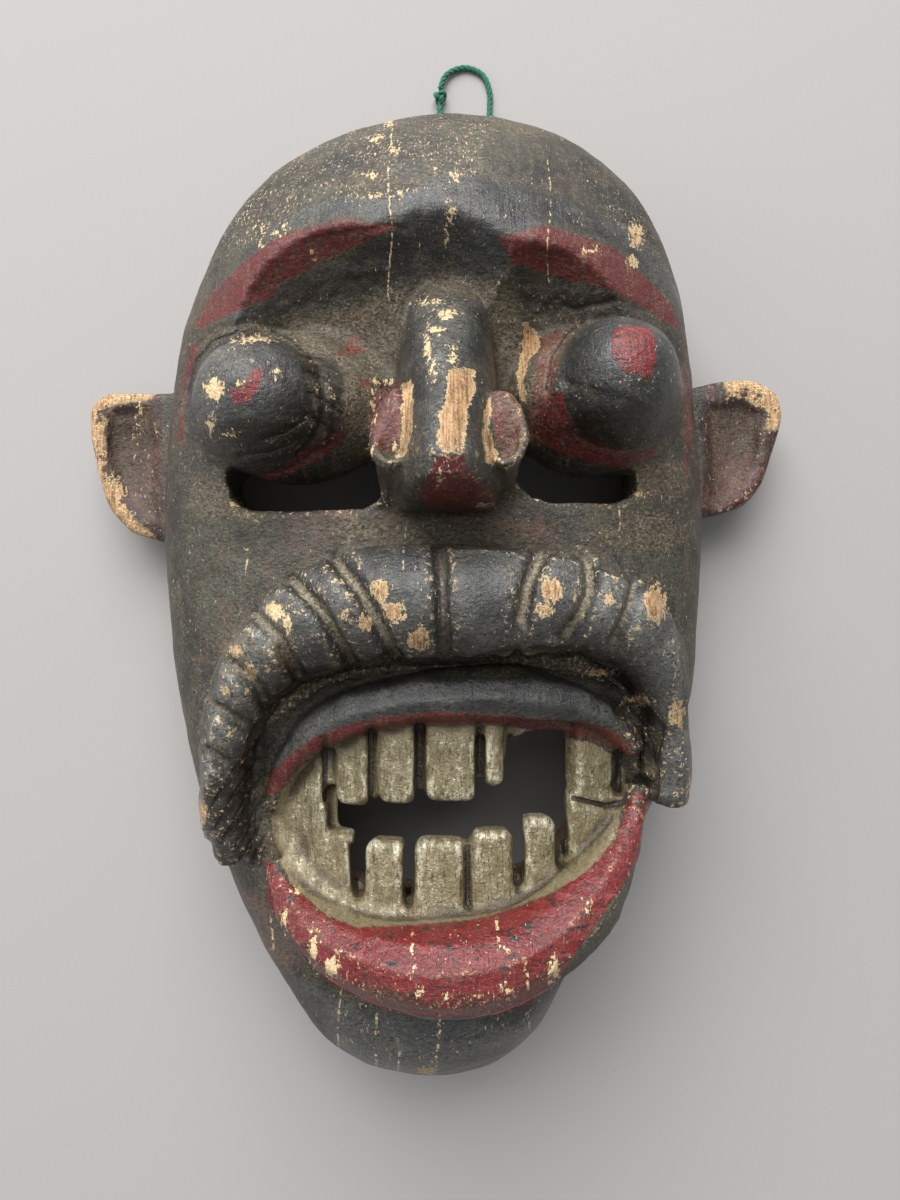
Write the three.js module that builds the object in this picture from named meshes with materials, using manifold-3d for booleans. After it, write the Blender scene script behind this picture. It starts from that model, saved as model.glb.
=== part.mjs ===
// A large face mask carved from one block of wood, lying on its back rim with the face up,
// and the loop of twine that it hangs by, lying on the same surface.
//
// Millimetres. X runs across the face, Y towards the crown and Z out of the face.
// The origin is the middle of the mask's own bounding box, on the plane of the back rim.
//
// The carving is laid out on a canon: its numbers are 382nds of the face's height, measured from
// a point between the cheeks on the rim's plane. Walls, bores and the twine are sizes of their own.
import * as THREE from "three";
import { mergeVertices } from "three/addons/utils/BufferGeometryUtils.js";
import Module from "manifold-3d";

const wasm = await Module();
wasm.setup();

// Driving dimensions.
const FACE_HEIGHT = 382; // crown to chin
const RIM_WALL = 12; // width of the flat back rim
const FACE_WALL = 15; // wood between the hollow and the cheeks
const MOUTH_WALL = 12; // wood behind the teeth
const TWINE_DIAMETER = 2.6;
const TWINE_CLEARANCE = 0.9; // round the twine in its two bores
const BORE_SPACING = 22; // between the two bores
const BORE_HEIGHT = 11; // of the bores above the rim's plane
const KNOT_DIAMETER = 6.4;
const LOOP_REACH = 41; // of the twine past the crown
const GAP = 0.35; // between pieces that touch

// Sizes of the canon.
const CANON = 382; // crown to chin
const BLOCK_DEPTH = 73; // of the cheeks, which the hollow is measured from
const OUTLINE_STEPS = 48; // round the block's outline
const HOLLOW_STEPS = 32; // round the hollow
const FEATURE_ROOT = 26; // how far a carved roll runs back into the wood
const NOSE_X = -1; // the nose is carved a little off the middle
const unit = FACE_HEIGHT / CANON;
const at = (x, y, z) => new THREE.Vector3(x, y, z).multiplyScalar(unit);

// A closed geometry as a solid that can be joined and cut.
function solid(geometry) {
  const bare = geometry.index ? geometry.toNonIndexed() : geometry.clone();
  bare.deleteAttribute("normal");
  bare.deleteAttribute("uv");
  const merged = mergeVertices(bare, 1e-4);
  return new wasm.Manifold(
    new wasm.Mesh({
      numProp: 3,
      vertProperties: merged.attributes.position.array,
      triVerts: new Uint32Array(merged.index.array),
    }),
  );
}

// The solid again as a geometry for a mesh.
function geometryOf(made) {
  const mesh = made.getMesh();
  const geometry = new THREE.BufferGeometry();
  geometry.setAttribute("position", new THREE.BufferAttribute(mesh.vertProperties, 3));
  geometry.setIndex(new THREE.BufferAttribute(mesh.triVerts, 1));
  geometry.computeVertexNormals();
  return geometry;
}

const joined = (solids) => solids.reduce((sum, next) => sum.add(next));
const without = (body, cutters) => cutters.reduce((rest, next) => rest.subtract(next), body);

// A closed skin over rings of equally many points, each counter-clockwise seen from the last ring.
function skin(rings) {
  const count = rings[0].length;
  const points = rings.flat();
  const faces = [];
  for (let i = 0; i + 1 < rings.length; i++) {
    for (let j = 0; j < count; j++) {
      const a = i * count + j;
      const b = i * count + ((j + 1) % count);
      faces.push(a, b, b + count, a, b + count, a + count);
    }
  }
  const middle = (ring) => ring.reduce((sum, p) => sum.add(p), new THREE.Vector3()).divideScalar(count);
  const first = points.push(middle(rings[0])) - 1;
  const last = points.push(middle(rings.at(-1))) - 1;
  const top = (rings.length - 1) * count;
  for (let j = 0; j < count; j++) {
    const next = (j + 1) % count;
    faces.push(first, next, j, last, top + j, top + next);
  }
  const geometry = new THREE.BufferGeometry().setFromPoints(points);
  geometry.setIndex(faces);
  return solid(geometry);
}

// A rounded lump: an ellipsoid of the canon, with a pole at its front.
function lump(centre, radii, sides = 20) {
  const ball = new THREE.SphereGeometry(1, sides, Math.round(sides * 0.55)).rotateX(Math.PI / 2);
  return solid(ball.scale(...radii).translate(...centre).scale(unit, unit, unit));
}

// A roll carved along a route, as half as wide and as proud of the route as shape(t) says. Behind
// the route it runs straight back into the wood.
function roll(route, shape, stations, sides = 10) {
  const curve = new THREE.CatmullRomCurve3(route.map((p) => at(...p)), false, "centripetal");
  const rings = stations.map((t) => {
    const middle = curve.getPointAt(t);
    const along = curve.getTangentAt(t);
    const across = new THREE.Vector3(0, 0, 1).cross(along).normalize();
    const out = along.clone().cross(across);
    const [wide, proud] = shape(t);
    return Array.from({ length: sides }, (_, j) => {
      const angle = (j / sides) * 2 * Math.PI;
      const height = j * 2 > sides ? -FEATURE_ROOT : proud * Math.sin(angle);
      return middle
        .clone()
        .addScaledVector(across, wide * unit * Math.cos(angle))
        .addScaledVector(out, height * unit);
    });
  });
  return skin(rings);
}

const evenly = (count) => Array.from({ length: count + 1 }, (_, i) => i / count);

// A value read off a row of [t, value, value, ...] stops, eased between them.
function between(stops) {
  return (t) => {
    const next = Math.max(1, stops.findIndex((stop) => stop[0] >= t));
    const [low, high] = [stops[next - 1], stops[next]];
    const share = THREE.MathUtils.smoothstep(t, low[0], high[0]);
    return low.slice(1).map((value, k) => value + (high[k + 1] - value) * share);
  };
}

// An outline of the canon as a plate from depth low to depth high.
function plate(outline, low, high) {
  const shape = new THREE.Shape(outline.map(([x, y]) => new THREE.Vector2(x, y).multiplyScalar(unit)));
  const geometry = new THREE.ExtrudeGeometry(shape, { depth: (high - low) * unit, bevelEnabled: false });
  return solid(geometry.translate(0, 0, low * unit));
}

// The block's outline seen from the front, right side first, from the crown round by the chin.
const BLOCK_OUTLINE = new THREE.CatmullRomCurve3(
  [
    [8, 196], [48, 185], [76, 163], [91, 131], [97, 92], [102, 36], [101, -8], [95, -52],
    [79, -88], [63, -118], [47, -150], [34, -175], [14, -189], [-12, -191.5], [-40, -185],
    [-56, -171], [-74, -140], [-90, -106], [-104, -66], [-113, -20], [-115.5, 22], [-113, 72],
    [-107, 108], [-94, 144], [-72, 172], [-38, 189],
  ].map((p) => at(...p, 0)),
  true,
  "centripetal",
);
const BLOCK_CENTRE = at(-6, 0, 0);

// The outline as one ring at a depth, drawn in towards the centre line by an inset.
function outline(inset, depth, count = OUTLINE_STEPS) {
  return Array.from({ length: count }, (_, i) => {
    const edge = BLOCK_OUTLINE.getPointAt(1 - i / count);
    const spoke = edge.clone().sub(BLOCK_CENTRE);
    const point = edge.addScaledVector(spoke.normalize(), -inset * unit);
    return point.setZ(depth * unit);
  });
}

// The face before its features: [inset from the outline, depth] from the rim to the cheeks.
const FACE_PROFILE = [
  [2, 0],
  [0, 18],
  [1, 40],
  [6, 53],
  [15, 63],
  [28, 70],
  [50, 76],
  [88, 79],
];
const BROW = { centre: [-6, 97, 20], radii: [101, 96, 84] };
const MUZZLE = { centre: [-6, -62, 18], radii: [87, 86, 66] };

function block() {
  return joined([
    skin(FACE_PROFILE.map(([inset, depth]) => outline(inset, depth))),
    lump(BROW.centre, BROW.radii, 26),
    lump(MUZZLE.centre, MUZZLE.radii, 24),
  ]);
}

// The hollow for the wearer's face, open at the back, deeper behind the forehead and the mouth.
const FOREHEAD_POCKET = { centre: [-6, 135, 20], radii: [64, 42, 52] };

function hollow() {
  const rim = RIM_WALL / unit + FACE_PROFILE[0][0];
  const deep = BLOCK_DEPTH - FACE_WALL / unit;
  const rings = [
    [rim, -30],
    [rim, 0],
    [rim + 4, deep * 0.4],
    [rim + 14, deep * 0.68],
    [rim + 32, deep * 0.88],
    [rim + 60, deep * 0.98],
    [rim + 78, deep],
  ];
  const pocket = MUZZLE.radii.map((radius) => radius - MOUTH_WALL / unit);
  return joined([
    skin(rings.map(([inset, depth]) => outline(inset, depth, HOLLOW_STEPS))),
    lump(FOREHEAD_POCKET.centre, FOREHEAD_POCKET.radii, 16),
    lump(MUZZLE.centre, [pocket[0] - 4, pocket[1] - 16, pocket[2]], 16),
  ]);
}

const underside = () => plate([[-400, -400], [400, -400], [400, 400], [-400, 400]], -200, 0);

// Scooped under the brow: a hollow for each eye, and one between them above the nose.
function sockets() {
  return [
    lump([-46, 80, 118], [59, 54, 51], 24),
    lump([37, 77, 118], [57, 51, 51], 24),
    lump([-3, 98, 122], [38, 40, 48], 18),
  ];
}

// The slots that the wearer looks through, under each bulging eye.
const SLOTS = [
  [[-82, 46], [-79, 35], [-72, 31.8], [-31, 32], [-24, 36], [-24, 56], [-50, 62]],
  [[22.5, 56], [22.5, 42], [29, 37], [37, 35], [61, 35], [68, 39], [67, 50], [44, 62]],
];

const sightSlots = () => SLOTS.map((slot) => plate(slot, 30, 130));

// The eyes: a bulging ball, the lid that it sits in and the slope from it to the nose.
function eyes() {
  return joined([
    lump([-66, 68, 84], [25, 23.8, 31], 20),
    lump([-57, 70, 66], [37, 28, 27], 18),
    lump([-50, 67, 74], [22, 18, 26], 14),
    lump([58.5, 75.5, 84], [22.5, 23.2, 31], 20),
    lump([53.5, 73, 66], [34, 28.5, 27], 18),
    lump([44, 72, 74], [21, 18, 25], 14),
  ]);
}

// The nose: [height up the face, half width, depth of its ridge], from the bridge to under the tip.
const NOSE_STATIONS = [
  [31, 15, 118],
  [32.5, 17, 134],
  [36, 18, 146],
  [42, 18.5, 149],
  [52, 18.5, 143],
  [64, 18.5, 133],
  [78, 18, 121],
  [92, 17, 107],
  [104, 15, 93],
  [112, 12, 82],
];

function nose() {
  const arc = 12;
  const back = 60;
  const ridge = skin(
    NOSE_STATIONS.map(([y, half, front]) => {
      const ring = Array.from({ length: arc + 1 }, (_, j) => {
        const angle = (j / arc) * Math.PI;
        return at(NOSE_X - half * Math.cos(angle), y, back + (front - back) * Math.sin(angle) ** 0.7);
      });
      return ring;
    }),
  );
  return joined([ridge, ...NOSTRILS.map(nostril)]);
}

// A flared nostril: an oval wing beside the nose, as steep as its ridge and dished in front.
const NOSTRILS = [
  { centre: [-17.5, 52.5], radii: [8.8, 14.2] },
  { centre: [16.5, 52], radii: [8.4, 13.2] },
];
const NOSTRIL_PROFILE = [
  { depth: 58, share: 1.15 },
  { depth: 88, share: 1.05 },
  { depth: 108, share: 0.96 },
  { depth: 121, share: 1 },
  { depth: 126, share: 0.86 },
];
const NOSTRIL_SLOPE = 0.5;
const NOSTRIL_SIDES = 16;

function nostril({ centre: [x, y], radii: [wide, tall] }) {
  const wing = skin(
    NOSTRIL_PROFILE.map(({ depth, share }, i) =>
      Array.from({ length: NOSTRIL_SIDES }, (_, j) => {
        const angle = (j / NOSTRIL_SIDES) * 2 * Math.PI;
        const up = tall * share * Math.sin(angle);
        const slope = i ? NOSTRIL_SLOPE * up : 0;
        return at(x + wide * share * Math.cos(angle), y + up, depth - slope);
      }),
    ),
  );
  return wing.subtract(lump([x, y - 1, 129], [wide * 0.62, tall * 0.7, 11], 12));
}

// The moustache: a fat roll that arches over the mouth, notched into lobes.
const MOUSTACHE_ROUTE = [
  [-80, -92, 64],
  [-82, -72, 70],
  [-80, -52, 78],
  [-73, -32, 86],
  [-61, -16, 93],
  [-45, -6, 99],
  [-24, -0.5, 103],
  [0, 0, 105],
  [24, 0.5, 103],
  [45, 0, 98],
  [62, -8, 90],
  [74, -22, 82],
  [79, -42, 75],
  [80, -71, 68],
];
const MOUSTACHE_SHAPE = between([
  [0, 7, 14],
  [0.12, 9, 16],
  [0.28, 12, 18],
  [0.4, 17, 20],
  [0.5, 18.5, 20],
  [0.66, 18, 20],
  [0.8, 11, 18],
  [0.9, 6.5, 14],
  [0.92, 8, 14],
  [1, 7, 14],
]);
const MOUSTACHE_NOTCHES = [0.164, 0.224, 0.28, 0.345, 0.401, 0.446, 0.519, 0.6, 0.659, 0.705, 0.755];
const NOTCH = { half: 0.009, depth: 0.15 };

function moustache() {
  const stations = [0, 0.05, 0.1, 0.8, 0.85, 0.9, 0.92, 0.96, 1];
  MOUSTACHE_NOTCHES.forEach((notch, i) => {
    const next = MOUSTACHE_NOTCHES[i + 1] ?? notch + 0.05;
    stations.push(notch - NOTCH.half, notch, notch + NOTCH.half, (notch + next) / 2);
  });
  const notched = (t) => {
    const cut = MOUSTACHE_NOTCHES.includes(t) ? 1 - NOTCH.depth : 1;
    return MOUSTACHE_SHAPE(t).map((size) => size * cut);
  };
  return roll(MOUSTACHE_ROUTE, notched, stations.sort((a, b) => a - b));
}

const UPPER_LIP_ROUTE = [
  [-64, -74, 72],
  [-56, -56, 80],
  [-40, -42, 86],
  [-18, -35, 90],
  [6, -33, 91],
  [30, -34, 89],
  [52, -40, 83],
  [63, -52, 76],
];
const UPPER_LIP_SHAPE = between([
  [0, 4, 6],
  [0.3, 8, 9],
  [0.7, 9, 10],
  [1, 4, 6],
]);
const LOWER_LIP_ROUTE = [
  [-62, -96, 74],
  [-54, -108, 82],
  [-38, -118, 90],
  [-16, -123, 97],
  [6, -123, 99],
  [28, -117, 96],
  [48, -103, 88],
  [62, -84, 78],
  [68, -68, 72],
];
const LOWER_LIP_SHAPE = between([
  [0, 5, 7],
  [0.2, 11, 14],
  [0.45, 15.5, 18],
  [0.7, 13, 16],
  [1, 5, 7],
]);

function lips() {
  return joined([
    roll(UPPER_LIP_ROUTE, UPPER_LIP_SHAPE, evenly(18), 8),
    roll(LOWER_LIP_ROUTE, LOWER_LIP_SHAPE, evenly(22)),
  ]);
}

// The open mouth between the teeth, cut right through: its upper edge first, from the left.
const MOUTH = [
  [-51, -82], [-47, -71], [-38, -64], [-20, -61], [8, -60], [19, -58], [22, -50], [28, -47], [42, -47],
  [46, -56], [48, -70], [47, -82], [40, -94], [26, -101], [6, -105], [-16, -106], [-36, -103], [-47, -95],
];

// Teeth: [left side, right side, root, biting edge] across and up the face.
const UPPER_TEETH = [
  [-60, -43.5, -48, -84],
  [-41.5, -27.5, -44, -72.5],
  [-25.5, -12, -42, -71],
  [-8.5, 9.5, -40, -70],
  [11.5, 19, -40, -65],
  [44.5, 60, -42, -68],
];
const LOWER_TEETH = [
  [-60, -53, -98, -80],
  [-52, -34, -110, -82],
  [-30.5, -15.5, -112, -84],
  [-12.5, 5.5, -112, -83],
  [7.5, 22.5, -110, -80],
  [25.5, 38, -106, -76],
  [41.5, 61, -100, -68],
];
const TOOTH = { thick: 11, bevel: 1.6, corner: 3 };

// How far out of the face the teeth stand: less towards the corners of the mouth.
const BITE = { middle: 2, front: 90, curve: 0.0042 };
const biteDepth = (x) => BITE.front - BITE.curve * (x - BITE.middle) ** 2;
const biteSlope = (x) => Math.atan(-2 * BITE.curve * (x - BITE.middle));

function tooth([left, right, root, edge]) {
  const [wide, tall] = [right - left, Math.abs(edge - root)];
  const middle = (left + right) / 2;
  const [x, y] = [wide / 2 - TOOTH.bevel, tall / 2 - TOOTH.bevel];
  const corner = TOOTH.corner - TOOTH.bevel;
  const half = [[x, y - corner], [x - corner, y], [corner - x, y], [-x, y - corner]];
  const around = [...half, ...half.map(([u, v]) => [-u, -v])];
  const geometry = new THREE.ExtrudeGeometry(new THREE.Shape(around.map((p) => new THREE.Vector2(...p))), {
    depth: TOOTH.thick - 2 * TOOTH.bevel,
    bevelSize: TOOTH.bevel,
    bevelThickness: TOOTH.bevel,
    bevelSegments: 1,
  });
  geometry.translate(0, 0, TOOTH.bevel - TOOTH.thick);
  geometry.rotateY(-biteSlope(middle));
  geometry.translate(middle, (root + edge) / 2, biteDepth(middle));
  return solid(geometry.scale(unit, unit, unit));
}

// The gum: a ledge that the lower teeth stand on.
const GUM_ROUTE = [
  [-60, -86, 70],
  [-50, -100, 77],
  [-34, -108, 82],
  [-14, -111, 85],
  [6, -110, 86],
  [26, -105, 83],
  [44, -97, 78],
  [58, -84, 72],
  [62, -70, 69],
];

const gum = () => roll(GUM_ROUTE, () => [5, 6], evenly(16), 6);

const chin = () => lump([-6, -152, 60], [42, 26, 20], 16);

// Ears: [across, up] outlines of two flat lobes set on the sides, each with a shallow dish.
const EARS = [
  {
    outline: [
      [-98, 86], [-120, 86], [-144, 86], [-150, 80], [-150, 68],
      [-147, 54], [-142, 38], [-133, 28], [-120, 24], [-98, 22],
    ],
    dish: { centre: [-133, 58, 32], radii: [14, 24, 7] },
  },
  {
    outline: [
      [90, 34], [110, 35], [122, 39], [130, 48], [135, 62],
      [139, 77], [136, 86], [127, 92], [110, 91], [90, 86],
    ],
    dish: { centre: [118, 62, 32], radii: [14, 24, 7] },
  },
];
const EAR_DEPTH = [12, 28];

function ears() {
  return joined(
    EARS.map(({ outline, dish }) => plate(outline, ...EAR_DEPTH).subtract(lump(dish.centre, dish.radii, 12))),
  );
}

// The twine's two bores through the crown, side by side above the rim.
const TWINE_X = 6.6 * unit;
const CROWN_Y = 196 * unit;
const boreSides = [-BORE_SPACING / 2, BORE_SPACING / 2].map((side) => TWINE_X + side);

function bores() {
  const length = 80 * unit;
  return boreSides.map((x) => {
    const drill = new THREE.CylinderGeometry(
      TWINE_DIAMETER / 2 + TWINE_CLEARANCE,
      TWINE_DIAMETER / 2 + TWINE_CLEARANCE,
      length,
      16,
    );
    return solid(drill.translate(x, CROWN_Y, BORE_HEIGHT));
  });
}

function maskGeometry() {
  const shell = without(block(), [...sockets(), hollow(), ...sightSlots(), plate(MOUTH, 30, 140)]);
  const teeth = joined([...UPPER_TEETH, ...LOWER_TEETH].map(tooth));
  const carving = joined([shell, eyes(), nose(), moustache(), lips(), gum(), teeth, chin(), ears()]);
  return geometryOf(without(carving, [hollow(), underside(), ...bores()]));
}

// The twine's route: out of the knot, through the left bore, back out of the right one and round.
function twineRoute() {
  const [left, right] = boreSides;
  const low = TWINE_DIAMETER / 2 + 0.05;
  const inner = CROWN_Y - RIM_WALL - 5;
  const tip = CROWN_Y + LOOP_REACH - low;
  const turn = tip - BORE_SPACING / 2;
  const knotY = turn - 3;
  const half = KNOT_DIAMETER / 2;
  return {
    knot: new THREE.Vector3(left, knotY, half),
    points: [
      [left, knotY - half - GAP, half],
      [left, CROWN_Y + 12, half + 2.5],
      [left, CROWN_Y + 2, BORE_HEIGHT - 0.2],
      [left, CROWN_Y - 7, BORE_HEIGHT],
      [left, inner, BORE_HEIGHT],
      [left + 3, inner - 6, BORE_HEIGHT - 1],
      [TWINE_X, inner - 9.5, BORE_HEIGHT - 2],
      [right - 3, inner - 6, BORE_HEIGHT - 1],
      [right, inner, BORE_HEIGHT],
      [right, CROWN_Y - 7, BORE_HEIGHT],
      [right, CROWN_Y + 2, BORE_HEIGHT - 0.2],
      [right, CROWN_Y + 12, half + 1.5],
      [right, CROWN_Y + 22, low + 0.2],
      [right, turn, low],
      [TWINE_X + BORE_SPACING * 0.36, turn + BORE_SPACING * 0.35, low],
      [TWINE_X, tip, low],
      [TWINE_X - BORE_SPACING * 0.36, turn + BORE_SPACING * 0.35, low + 0.6],
      [left, knotY + half + GAP, half],
    ].map((p) => new THREE.Vector3(...p)),
  };
}

function twineGeometry() {
  const round = new THREE.Shape();
  const sides = 8;
  for (let i = 0; i < sides; i++) {
    const angle = (i / sides) * 2 * Math.PI;
    const [x, y] = [Math.cos(angle), Math.sin(angle)].map((c) => (c * TWINE_DIAMETER) / 2);
    if (i) round.lineTo(x, y);
    else round.moveTo(x, y);
  }
  const route = new THREE.CatmullRomCurve3(twineRoute().points, false, "centripetal");
  return new THREE.ExtrudeGeometry(round, { steps: 44, extrudePath: route, bevelEnabled: false });
}

function knotGeometry() {
  const { x, y, z } = twineRoute().knot;
  return new THREE.SphereGeometry(KNOT_DIAMETER / 2, 14, 10).rotateX(Math.PI / 2).translate(x, y, z);
}

const piece = (name, geometry, look) => {
  const mesh = new THREE.Mesh(geometry, new THREE.MeshStandardMaterial(look));
  mesh.name = name;
  return mesh;
};

const mask = piece("carved_mask", maskGeometry(), { color: "#35383a", roughness: 0.6, metalness: 0 });
const twine = piece("hanging_twine", twineGeometry(), { color: "#1f5f49", roughness: 0.9, metalness: 0 });
const knot = piece("twine_knot", knotGeometry(), { color: "#1f5f49", roughness: 0.9, metalness: 0 });

mask.geometry.computeBoundingBox();
const middle = mask.geometry.boundingBox.getCenter(new THREE.Vector3());
const part = new THREE.Group();
part.add(mask, twine, knot);
part.position.set(-middle.x, -middle.y, 0);

export default part;
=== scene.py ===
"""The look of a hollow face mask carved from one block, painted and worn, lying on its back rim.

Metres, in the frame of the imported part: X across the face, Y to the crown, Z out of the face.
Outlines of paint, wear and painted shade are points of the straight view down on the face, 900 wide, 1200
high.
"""
import logging
import math
from dataclasses import dataclass, field
from enum import Enum

import bpy
import numpy as np
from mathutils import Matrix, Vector, noise
from mathutils.bvhtree import BVHTree


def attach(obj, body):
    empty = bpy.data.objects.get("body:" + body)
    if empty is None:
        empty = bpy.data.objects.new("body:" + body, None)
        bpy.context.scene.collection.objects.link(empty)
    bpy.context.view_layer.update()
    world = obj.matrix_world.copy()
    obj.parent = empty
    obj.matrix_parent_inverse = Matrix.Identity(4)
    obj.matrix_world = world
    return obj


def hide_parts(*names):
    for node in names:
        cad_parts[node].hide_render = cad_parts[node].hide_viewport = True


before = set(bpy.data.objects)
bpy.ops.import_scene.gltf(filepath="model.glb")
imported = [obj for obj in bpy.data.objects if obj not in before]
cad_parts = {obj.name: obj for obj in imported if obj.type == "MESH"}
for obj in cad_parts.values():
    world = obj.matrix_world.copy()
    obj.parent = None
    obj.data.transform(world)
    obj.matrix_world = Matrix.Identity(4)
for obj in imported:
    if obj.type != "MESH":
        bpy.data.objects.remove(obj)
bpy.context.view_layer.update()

LOG = logging.getLogger("mask")
MM = 0.001

VIEW_POINT = (0.0055, -0.0022, 0.400)
VIEW_FOCUS = 900.0
VIEW_CENTRE = (450.0, 600.0)
NEAREST = 0.05  # the face comes no nearer to the view point, in metres
FAR = 30.0  # distances in the view are kept within this, in its units
SHRINK, GROW = 0.5, -0.52  # the two steps of one even smoothing round
RELIEF_STEP = 0.6
CURVE_STEPS = 24  # between two points of a cord
FRONT = (0.055, 0.070)  # between these heights the face's own carving sets in, in metres

Outline = list[tuple[float, float]]


class Zone(Enum):
    """A kind of paint, dirt, bare wood or painted shade that covers part of the face."""

    RED = "zone_red"
    DARK_RED = "zone_dark_red"
    MAROON = "zone_maroon"
    SILVER = "zone_silver"
    COOL = "zone_cool"
    WOOD = "zone_wood"
    CHIP = "zone_chip"
    CREAM = "zone_cream"
    DUST = "zone_dust"
    GASH_AND_SHADE = "zone_gash_and_shade"
    FLECK = "zone_fleck"
    BLUSH = "zone_blush"
    EDGE = "zone_edge"


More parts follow.
